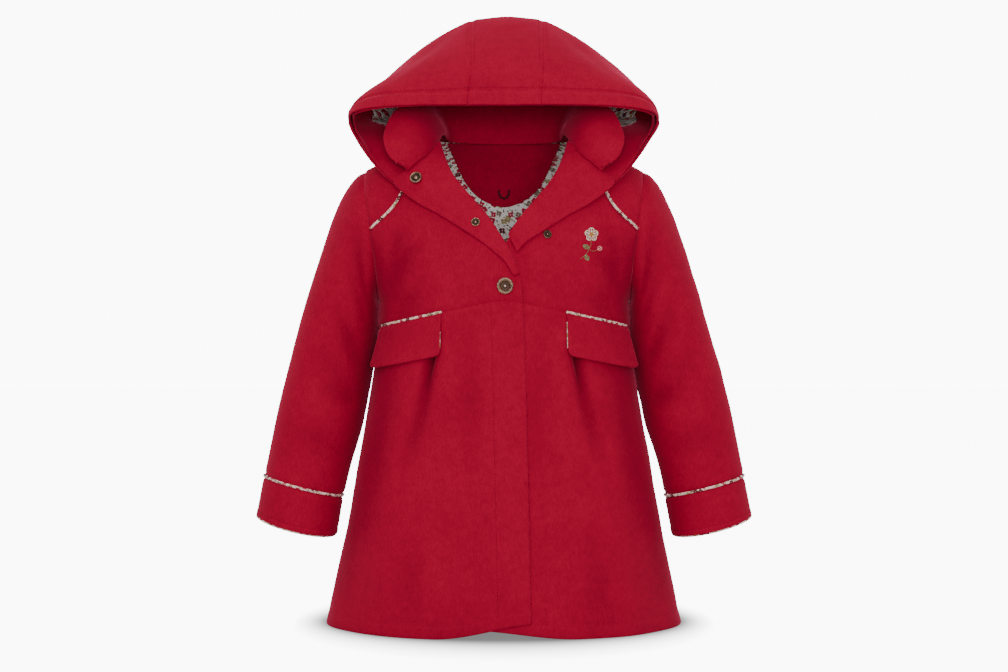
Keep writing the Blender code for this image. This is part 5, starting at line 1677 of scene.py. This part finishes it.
def light(name, place, size, power):
    """A lamp aimed at the middle of the coat."""
    lamp = bpy.data.lights.new(name, "AREA")
    lamp.shape, lamp.size, lamp.size_y = "RECTANGLE", size[0], size[1]
    lamp.energy = power
    thing = placed(name, lamp)
    thing.location = place
    thing.rotation_euler = (Vector(COAT_MIDDLE) - Vector(place)).to_track_quat("-Z", "Y").to_euler()


def floor_material(brightness):
    """A pale floor with a painted shadow: it darkens softly round the hem, in an oval a little larger than it.
    """
    tree, shader = blank_material("studio_floor", {
        "Roughness": 0.9, "Base Color": (0.12, 0.12, 0.12, 1.0), "Specular IOR Level": 0.0,
        "Emission Color": WHITE,
    })
    # Painted shadow: the floor's glow is dimmed in the ovals round the hem
    ovals = []
    for along_x, along_y in SHADOW_OVALS:
        oval = stretched(tree, own_place(tree), (1 / along_x, 1 / along_y, 0.0))
        ovals.append(add(tree, "ShaderNodeVectorMath", {0: oval}, operation="LENGTH").outputs["Value"])
    into = maths(tree, "SUBTRACT", ovals[0], 1.0)
    share = maths(tree, "DIVIDE", into, maths(tree, "SUBTRACT", ovals[0], ovals[1]))
    lit = maths(tree, "POWER", ranged(tree, share, 0.0, 1.0), SHADOW_CURVE)
    lit = ranged(tree, lit, 0.0, 1.0, SHADOW_LIGHT, 1.0)
    seen = add(tree, "ShaderNodeLightPath").outputs["Is Camera Ray"]
    strength = maths(tree, "MULTIPLY", ranged(tree, seen, 0.0, 1.0, FLOOR_GLOW, brightness), lit)
    link(tree, strength, shader, "Emission Strength")
    return bpy.data.materials["studio_floor"]


def make_stage():
    settings = bpy.context.scene.stage_sizes
    signs = ((-1, -1), (1, -1), (1, 1), (-1, 1))
    corners = [(x * FLOOR_HALF, y * FLOOR_HALF, (HEM_Z - FLOOR_GAP) * MM) for x, y in signs]
    mesh = bpy.data.meshes.new("floor")
    mesh.from_pydata(corners, [], [(0, 1, 2, 3)])
    mesh.materials.append(floor_material(settings.backdrop))
    placed("floor", mesh)
    world = bpy.data.worlds.new("studio")
    world.use_nodes = True
    tree = world.node_tree
    room = tree.nodes["Background"]
    seen = add(tree, "ShaderNodeLightPath").outputs["Is Camera Ray"]
    link(tree, ranged(tree, seen, 0.0, 1.0, settings.fill, settings.backdrop + ROOM_MORE), room, "Strength")
    room.inputs["Color"].default_value = WHITE
    bpy.context.scene.world = world
    for name, place, size, setting, share in LIGHTS:
        light(name, place, size, getattr(settings, setting) * share)
    camera = bpy.data.cameras.new("camera")
    camera.sensor_width = 36.0
    camera.lens = camera.sensor_width * settings.distance / settings.frame_width
    view = placed("camera", camera)
    view.location = (0.0, -settings.distance, settings.camera_height)
    view.rotation_euler = (math.pi / 2, 0.0, 0.0)
    bpy.context.scene.camera = view


# Operators

class COAT_OT_back(bpy.types.Operator):
    """Makes the back of the bodice and of the skirt"""
    bl_idname = "coat.back"
    bl_label = "Back"

    def execute(self, context):
        make_back()
        return {"FINISHED"}


class COAT_OT_fronts(bpy.types.Operator):
    """Makes the yokes, bodice fronts and skirt fronts"""
    bl_idname = "coat.fronts"
    bl_label = "Fronts"

    def execute(self, context):
        make_fronts()
        return {"FINISHED"}


class COAT_OT_sleeves(bpy.types.Operator):
    """Makes the sleeves and cuffs"""
    bl_idname = "coat.sleeves"
    bl_label = "Sleeves"

    def execute(self, context):
        make_sleeves()
        return {"FINISHED"}


class COAT_OT_hood(bpy.types.Operator):
    """Makes the hood's panels, rim facing and lining"""
    bl_idname = "coat.hood"
    bl_label = "Hood"

    def execute(self, context):
        make_hood()
        return {"FINISHED"}


class COAT_OT_collar(bpy.types.Operator):
    """Makes the collar and the lapels"""
    bl_idname = "coat.collar"
    bl_label = "Collar"

    def execute(self, context):
        make_collar()
        return {"FINISHED"}


class COAT_OT_linings(bpy.types.Operator):
    """Makes the back lining, the back neck facing and the loop"""
    bl_idname = "coat.linings"
    bl_label = "Linings"

    def execute(self, context):
        make_linings()
        return {"FINISHED"}


class COAT_OT_flaps(bpy.types.Operator):
    """Makes the pocket flaps with their piping and edging"""
    bl_idname = "coat.flaps"
    bl_label = "Pocket flaps"

    def execute(self, context):
        make_flaps()
        return {"FINISHED"}


class COAT_OT_pipings(bpy.types.Operator):
    """Makes the pipings of the yokes and cuffs"""
    bl_idname = "coat.pipings"
    bl_label = "Pipings"

    def execute(self, context):
        make_pipings()
        return {"FINISHED"}


class COAT_OT_fasteners(bpy.types.Operator):
    """Makes the button and the snaps"""
    bl_idname = "coat.fasteners"
    bl_label = "Fasteners"

    def execute(self, context):
        make_fasteners()
        return {"FINISHED"}


class COAT_OT_stitching(bpy.types.Operator):
    """Sews the topstitching"""
    bl_idname = "coat.stitching"
    bl_label = "Stitching"

    def execute(self, context):
        make_stitching()
        return {"FINISHED"}


class COAT_OT_embroidery(bpy.types.Operator):
    """Sews the small sprig on the left front"""
    bl_idname = "coat.embroidery"
    bl_label = "Embroidery"

    def execute(self, context):
        make_embroidery()
        return {"FINISHED"}


class COAT_OT_stage(bpy.types.Operator):
    """Sets the floor, the lights and the camera"""
    bl_idname = "coat.stage"
    bl_label = "Stage"

    def execute(self, context):
        make_stage()
        return {"FINISHED"}


STEPS = [
    COAT_OT_back, COAT_OT_fronts, COAT_OT_sleeves, COAT_OT_hood, COAT_OT_collar, COAT_OT_linings,
    COAT_OT_flaps, COAT_OT_pipings, COAT_OT_fasteners, COAT_OT_stitching, COAT_OT_embroidery,
    COAT_OT_stage,
]


class COAT_PT_panel(bpy.types.Panel):
    """Sizes, colours and steps of the coat."""
    bl_label = "Hooded wool coat"
    bl_space_type = "VIEW_3D"
    bl_region_type = "UI"
    bl_category = "Coat"

    def draw(self, context):
        scene = context.scene
        for group in (scene.coat_sizes, scene.coat_colours, scene.stage_sizes):
            box = self.layout.box()
            for name in group.__annotations__:
                box.prop(group, name)
        for step in STEPS:
            self.layout.operator(step.bl_idname)


CLASSES = [CoatColours, CoatSizes, StageSizes, *STEPS, COAT_PT_panel]


def register():
    for kind in CLASSES:
        bpy.utils.register_class(kind)
    bpy.types.Scene.coat_colours = PointerProperty(type=CoatColours)
    bpy.types.Scene.coat_sizes = PointerProperty(type=CoatSizes)
    bpy.types.Scene.stage_sizes = PointerProperty(type=StageSizes)


def unregister():
    del bpy.types.Scene.coat_colours
    del bpy.types.Scene.coat_sizes
    del bpy.types.Scene.stage_sizes
    for kind in reversed(CLASSES):
        bpy.utils.unregister_class(kind)


def main():
    register()
    for step in STEPS:
        name = step.bl_idname.split(".")[1]
        getattr(bpy.ops.coat, name)()


if __name__ == "__main__":
    main()
